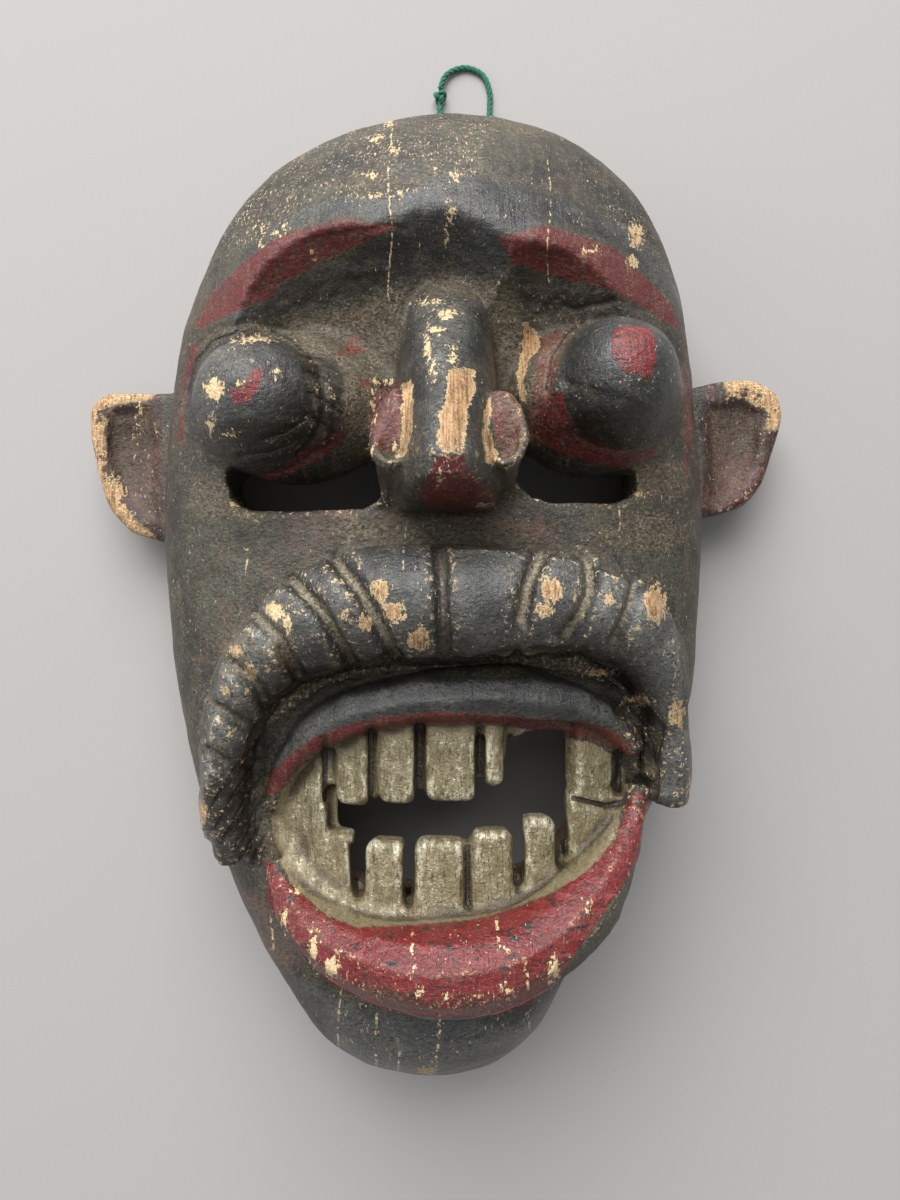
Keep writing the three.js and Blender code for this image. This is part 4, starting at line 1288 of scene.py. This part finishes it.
@dataclass
class HangingTwine:
    """The loop of twine through the two bores in the crown, and the knot that joins its ends."""

    thick: float = 2.6 * MM
    crown: float = 193.8 * MM
    left: float = 1.1 * MM
    right: float = 23.1 * MM
    bore: float = 11.0 * MM
    reach: float = 41.0 * MM
    knot_thick: float = 6.4 * MM
    knot_steps: int = 72
    drawn: float = 0.86  # how much thinner the twine is where it is drawn tight
    yarn_share: float = 0.52  # of the twine's thickness that one strand has
    gap: float = 0.35 * MM
    strands: int = 3
    pitch: float = 7.5 * MM

    def route(self) -> tuple[list[Vector], Vector]:
        """The points that the twine passes, from the knot round to the knot, and the knot's middle.

        Returns:
            The points in order, and the middle.
        """
        low = self.thick / 2 + 0.05 * MM
        half = self.knot_thick / 2
        middle = (self.left + self.right) / 2
        inner = self.crown - 17 * MM
        tip = self.crown + self.reach - low
        turn = tip - 11 * MM
        knot_y = turn - 3 * MM
        left, right, bore, crown = self.left, self.right, self.bore, self.crown
        points = [
            (left, knot_y - half - self.gap, half),
            (left, crown + 12 * MM, half + 2.5 * MM),
            (left, crown + 2 * MM, bore - 0.2 * MM),
            (left, crown - 7 * MM, bore),
            (left, inner, bore),
            (left + 3 * MM, inner - 6 * MM, bore - MM),
            (middle, inner - 9.5 * MM, bore - 2 * MM),
            (right - 3 * MM, inner - 6 * MM, bore - MM),
            (right, inner, bore),
            (right, crown - 7 * MM, bore),
            (right, crown + 2 * MM, bore - 0.2 * MM),
            (right, crown + 12 * MM, half + 1.5 * MM),
            (right, crown + 22 * MM, low + 0.2 * MM),
            (right, turn, low),
            (middle + 7.92 * MM, turn + 7.7 * MM, low),
            (middle, tip, low),
            (middle - 7.92 * MM, turn + 7.7 * MM, low + 0.6 * MM),
            (left, knot_y + half + self.gap, half),
        ]
        return [Vector(point) for point in points], Vector((left, knot_y, half))

    @staticmethod
    def curve_through(points: list[Vector], step: float) -> list[Vector]:
        """Evenly spaced points of the centripetal curve through some points.

        Args:
            points: what it passes through.
            step: the spacing wanted, in metres.

        Returns:
            The points along it, ends included.
        """
        padded = [points[0] * 2 - points[1], *points, points[-1] * 2 - points[-2]]
        dense: list[Vector] = []
        for a, b, c, d in zip(padded, padded[1:], padded[2:], padded[3:]):
            t0 = 0.0
            t1 = t0 + math.sqrt((b - a).length)
            t2 = t1 + math.sqrt((c - b).length)
            t3 = t2 + math.sqrt((d - c).length)
            for k in range(CURVE_STEPS):
                t = t1 + (t2 - t1) * k / CURVE_STEPS
                ab = a * ((t1 - t) / (t1 - t0)) + b * ((t - t0) / (t1 - t0))
                bc = b * ((t2 - t) / (t2 - t1)) + c * ((t - t1) / (t2 - t1))
                cd = c * ((t3 - t) / (t3 - t2)) + d * ((t - t2) / (t3 - t2))
                abc = ab * ((t2 - t) / (t2 - t0)) + bc * ((t - t0) / (t2 - t0))
                bcd = bc * ((t3 - t) / (t3 - t1)) + cd * ((t - t1) / (t3 - t1))
                dense.append(abc * ((t2 - t) / (t2 - t1)) + bcd * ((t - t1) / (t2 - t1)))
        dense.append(points[-1].copy())
        lengths = np.cumsum([0.0] + [(q - p).length for p, q in zip(dense, dense[1:])])
        count = max(2, int(round(lengths[-1] / step)))
        places = np.array([list(p) for p in dense])
        even = [np.interp(np.linspace(0, lengths[-1], count + 1), lengths, places[:, k]) for k in range(3)]
        return [Vector(place) for place in zip(*even)]

    @staticmethod
    def strand(name: str, points: list[Vector], thick: float) -> bpy.types.Object:
        """A round strand along points, as a mesh.

        Args:
            name: the new piece's name.
            points: its centre line.
            thick: its thickness.

        Returns:
            The strand.
        """
        curve = bpy.data.curves.new(name, "CURVE")
        curve.dimensions = "3D"
        curve.bevel_depth = thick / 2
        curve.bevel_resolution = 2
        curve.use_fill_caps = True
        spline = curve.splines.new("POLY")
        spline.points.add(len(points) - 1)
        for target, point in zip(spline.points, points):
            target.co = (*point, 1.0)
        activate(linked(name, curve))
        bpy.ops.object.convert(target="MESH")
        return bpy.context.object

    def twisted(self, name: str, path: list[Vector], thick: float) -> bpy.types.Object:
        """Strands laid round a path as rope is.

        Args:
            name: the new piece's name.
            path: its centre line.
            thick: the rope's thickness.

        Returns:
            One mesh of all strands.
        """
        yarn = thick * self.yarn_share
        offset = (thick - yarn) / 2
        strands = []
        for number in range(self.strands):
            side = Vector((0, 0, 1))
            travelled = 0.0
            points = []
            for i, place in enumerate(path):
                ahead = (path[min(i + 1, len(path) - 1)] - path[max(i - 1, 0)]).normalized()
                side = (side - ahead * side.dot(ahead)).normalized()
                other = ahead.cross(side)
                angle = math.tau * (travelled / self.pitch + number / self.strands)
                points.append(place + (side * math.cos(angle) + other * math.sin(angle)) * offset)
                if i + 1 < len(path):
                    travelled += (path[i + 1] - place).length
            strands.append(self.strand(f"{name}_{number}", points, yarn))
        rope = join(strands)
        rope.name = name
        bpy.ops.object.shade_smooth()
        return rope

    def build(self) -> list[bpy.types.Object]:
        """Twists the loop and ties its knot.

        Returns:
            The loop and the knot.
        """
        finish = Twine().build()
        points, knot_place = self.route()
        path = self.curve_through(points, 0.8 * MM)
        loop = self.twisted("twisted_twine", path, self.thick)
        loop.data.materials.append(finish)
        knot = self.knot(knot_place)
        knot.data.materials.append(finish)
        for piece, node in ((loop, "hanging_twine"), (knot, "twine_knot")):
            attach(piece, "root")
            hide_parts(node)
        return [loop, knot]

    def knot(self, place: Vector) -> bpy.types.Object:
        """The overhand knot: a turn of twine drawn tight on itself.

        Args:
            place: its middle.

        Returns:
            The knot, as one mesh.
        """
        thick = self.thick * self.drawn
        reach = (self.knot_thick - thick) / 2 / 1.45
        points = []
        for i in range(self.knot_steps + 1):
            angle = math.tau * i / self.knot_steps
            across = (math.sin(angle) + 2 * math.sin(2 * angle)) * reach * 0.5
            along = (math.cos(angle) - 2 * math.cos(2 * angle)) * reach * 0.5
            points.append(place + Vector((across, along, -math.sin(3 * angle) * reach * 0.9)))
        return self.twisted("tied_knot", points, thick)


@dataclass
class Studio:
    """The floor, the lights and the camera."""

    lens: float = 27.0
    sensor: float = 36.0
    floor_size: float = 40.0
    window_power: float = 2.5
    window_spread: float = math.radians(60)
    window_aim: tuple[float, float, float] = (0.15, -0.95, -1.0)
    room_tint: tuple[float, float, float, float] = (0.92, 0.96, 1.0, 1.0)
    room_power: float = 0.32

    def build(self) -> None:
        """Sets the scene round the object."""
        deselect()
        bpy.ops.mesh.primitive_plane_add(size=self.floor_size, location=(0, 0, 0))
        floor = bpy.context.object
        floor.name = "pale_floor"
        floor.data.materials.append(PaleFloor().build())
        sky = bpy.data.lights.new("window_light", "SUN")
        sky.energy = self.window_power
        sky.angle = self.window_spread
        window = linked("window_light", sky)
        window.rotation_euler = Vector(self.window_aim).to_track_quat("-Z", "Y").to_euler()
        for name, place, size, power in LAMPS:
            self.lamp(name, place, size, power)
        world = bpy.data.worlds.new("soft_room")
        world.use_nodes = True
        room = world.node_tree.nodes["Background"].inputs
        room["Color"].default_value = self.room_tint
        room["Strength"].default_value = self.room_power
        bpy.context.scene.world = world
        bpy.context.scene.view_settings.view_transform = "Standard"
        camera = linked("view", bpy.data.cameras.new("view"))
        camera.data.lens = self.lens
        camera.data.sensor_width = self.sensor
        camera.data.clip_start = 0.01
        camera.location = VIEW_POINT
        bpy.context.scene.camera = camera

    @staticmethod
    def lamp(name: str, place: tuple[float, float, float], size: float, power: float) -> None:
        """A soft square light aimed at the mask.

        Args:
            name: its name.
            place: where it hangs.
            size: its edge.
            power: in watts.
        """
        light = bpy.data.lights.new(name, "AREA")
        light.size = size
        light.energy = power
        lamp = linked(name, light)
        lamp.location = place
        lamp.rotation_euler = (Vector(LAMP_AIM) - Vector(place)).to_track_quat("-Z", "Y").to_euler()


def main() -> None:
    """Builds every piece in order and reports it."""
    logging.basicConfig(level=logging.INFO, format="%(name)s: %(message)s")
    mask = CarvedMask().build()
    LOG.info("%s: %d triangles", mask.name, sum(len(face.vertices) - 2 for face in mask.data.polygons))
    for piece in HangingTwine().build():
        LOG.info("%s: %d faces", piece.name, len(piece.data.polygons))
    Studio().build()


if __name__ == "__main__":
    main()
